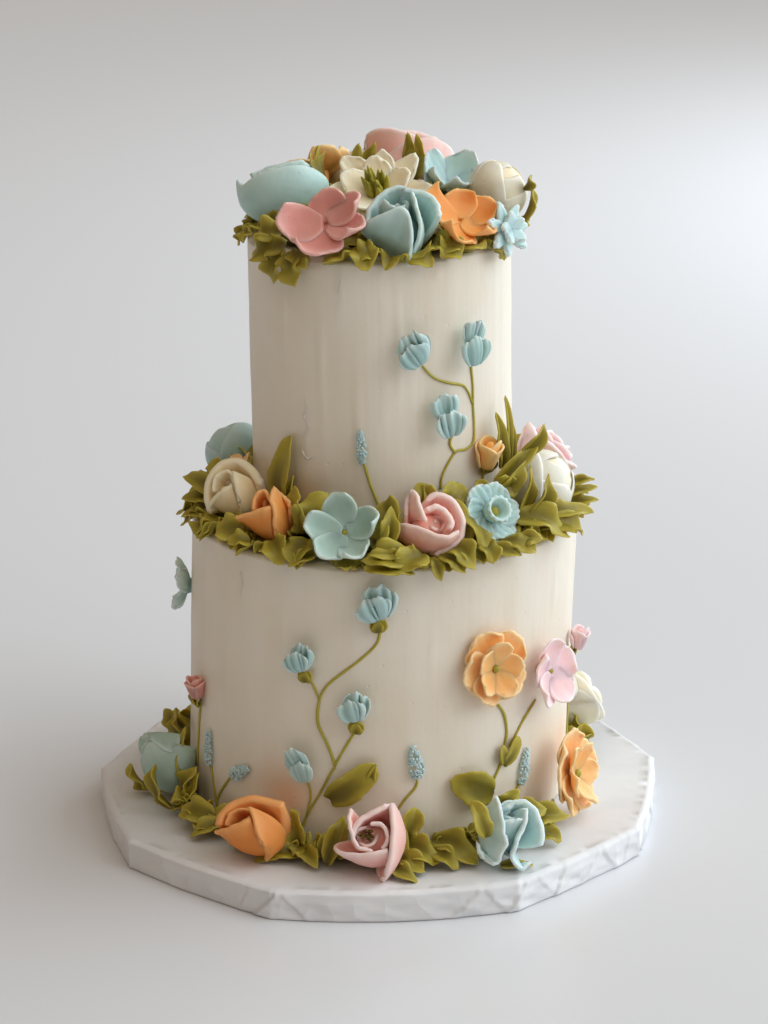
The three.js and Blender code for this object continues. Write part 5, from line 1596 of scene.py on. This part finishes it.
# Broad soft light from large windows: azimuth, lift, spread in degrees, strength, colour
WINDOWS = [
    (98, 40, 70, 1.65, (0.79, 0.915, 1.0)), (50, 30, 40, 0.5, (0.95, 0.97, 1.0)),
    (20, 68, 80, 0.4, (1.0, 0.97, 0.92)), (-50, 66, 80, 0.26, (1.0, 0.88, 0.74)),
]
# Square soft panels: name, place and aim in metres, side, power, colour
PANELS = [
    ("near", (1.15, -0.1, 0.75), (0, 0, 0.12), 1.1, 4.6, (0.85, 0.93, 1.0)),
    ("far", (0.95, 1.15, 0.5), (0.3, 1.1, 0), 0.6, 10.5, (0.86, 0.94, 1.0)),
]


def make_lights():
    """The windows, the panels and the faint light of the room."""
    for azimuth, lift, spread, strength, colour in WINDOWS:
        lamp = add_light("window", "SUN", strength, colour, -direction(azimuth, lift))
        lamp.data.angle = math.radians(spread)
    for name, place, aim, side, power, colour in PANELS:
        lamp = add_light(name, "AREA", power, colour, Vector(aim) - Vector(place))
        lamp.data.size = side
        lamp.location = place
        lamp.visible_camera = False
    world = bpy.data.worlds.new("world")
    world.use_nodes = True
    background = world.node_tree.nodes["Background"]
    background.inputs["Color"].default_value = linear("#ffdcb6")
    background.inputs["Strength"].default_value = 0.2
    bpy.context.scene.world = world
    bpy.context.scene.view_settings.view_transform = "Standard"


def make_floor():
    """A pale floor, a hair under the board."""
    mesh = bpy.data.meshes.new("floor")
    half = 6.0
    mesh.from_pydata([(-half, -half, 0), (half, -half, 0), (half, half, 0), (-half, half, 0)], [],
                     [(0, 1, 2, 3)])
    material, tree, shader, place = new_material("floor")
    shader.inputs["Base Color"].default_value = linear(FLOOR_COLOUR)
    shader.inputs["Roughness"].default_value = 0.32
    mesh.materials.append(material)
    floor = add_object("floor", mesh)
    floor.location.z = -0.0002


def main():
    """Makes every piece, then the floor, the light and the camera."""
    materials = {name: buttercream(name, COLOURS[name]) for name in COLOURS
                 if name not in ("icing", "leaf", "stem")}
    # shaded=0.75: strong painted shade on the leaves away from their rims and tips.
    leaf_material = buttercream("leaf", COLOURS["leaf"], roughness=0.48, soft=0.3, shaded=0.75)
    stem_material = buttercream("stem", COLOURS["stem"], roughness=0.48)
    icing = icing_material()
    make_board(wrap_material())
    make_tier(BOTTOM, icing)
    make_tier(TOP, icing)
    make_flowers(materials)
    flowers = flower_places()
    leaf_bed("leaf_bed_crown", "crown", (-180, 180), flowers, leaf_material, 21)
    for count, sector in enumerate(((-180, -60), (-60, 60), (60, 180)), 1):
        leaf_bed(f"leaf_bed_ledge_{count}", "ledge", sector, flowers, leaf_material, 30 + count)
    for count, sector in enumerate(((-100, -20), (-20, 60), (98, 258)), 1):
        leaf_bed(f"leaf_bed_foot_{count}", "foot", sector, flowers, leaf_material, 40 + count)
    make_stems(stem_material)
    make_bead_heads(buttercream("bead", COLOURS["pale_blue"], shaded=0.0))
    make_wall_leaves(leaf_material)
    make_floor()
    make_lights()
    make_camera()


main()
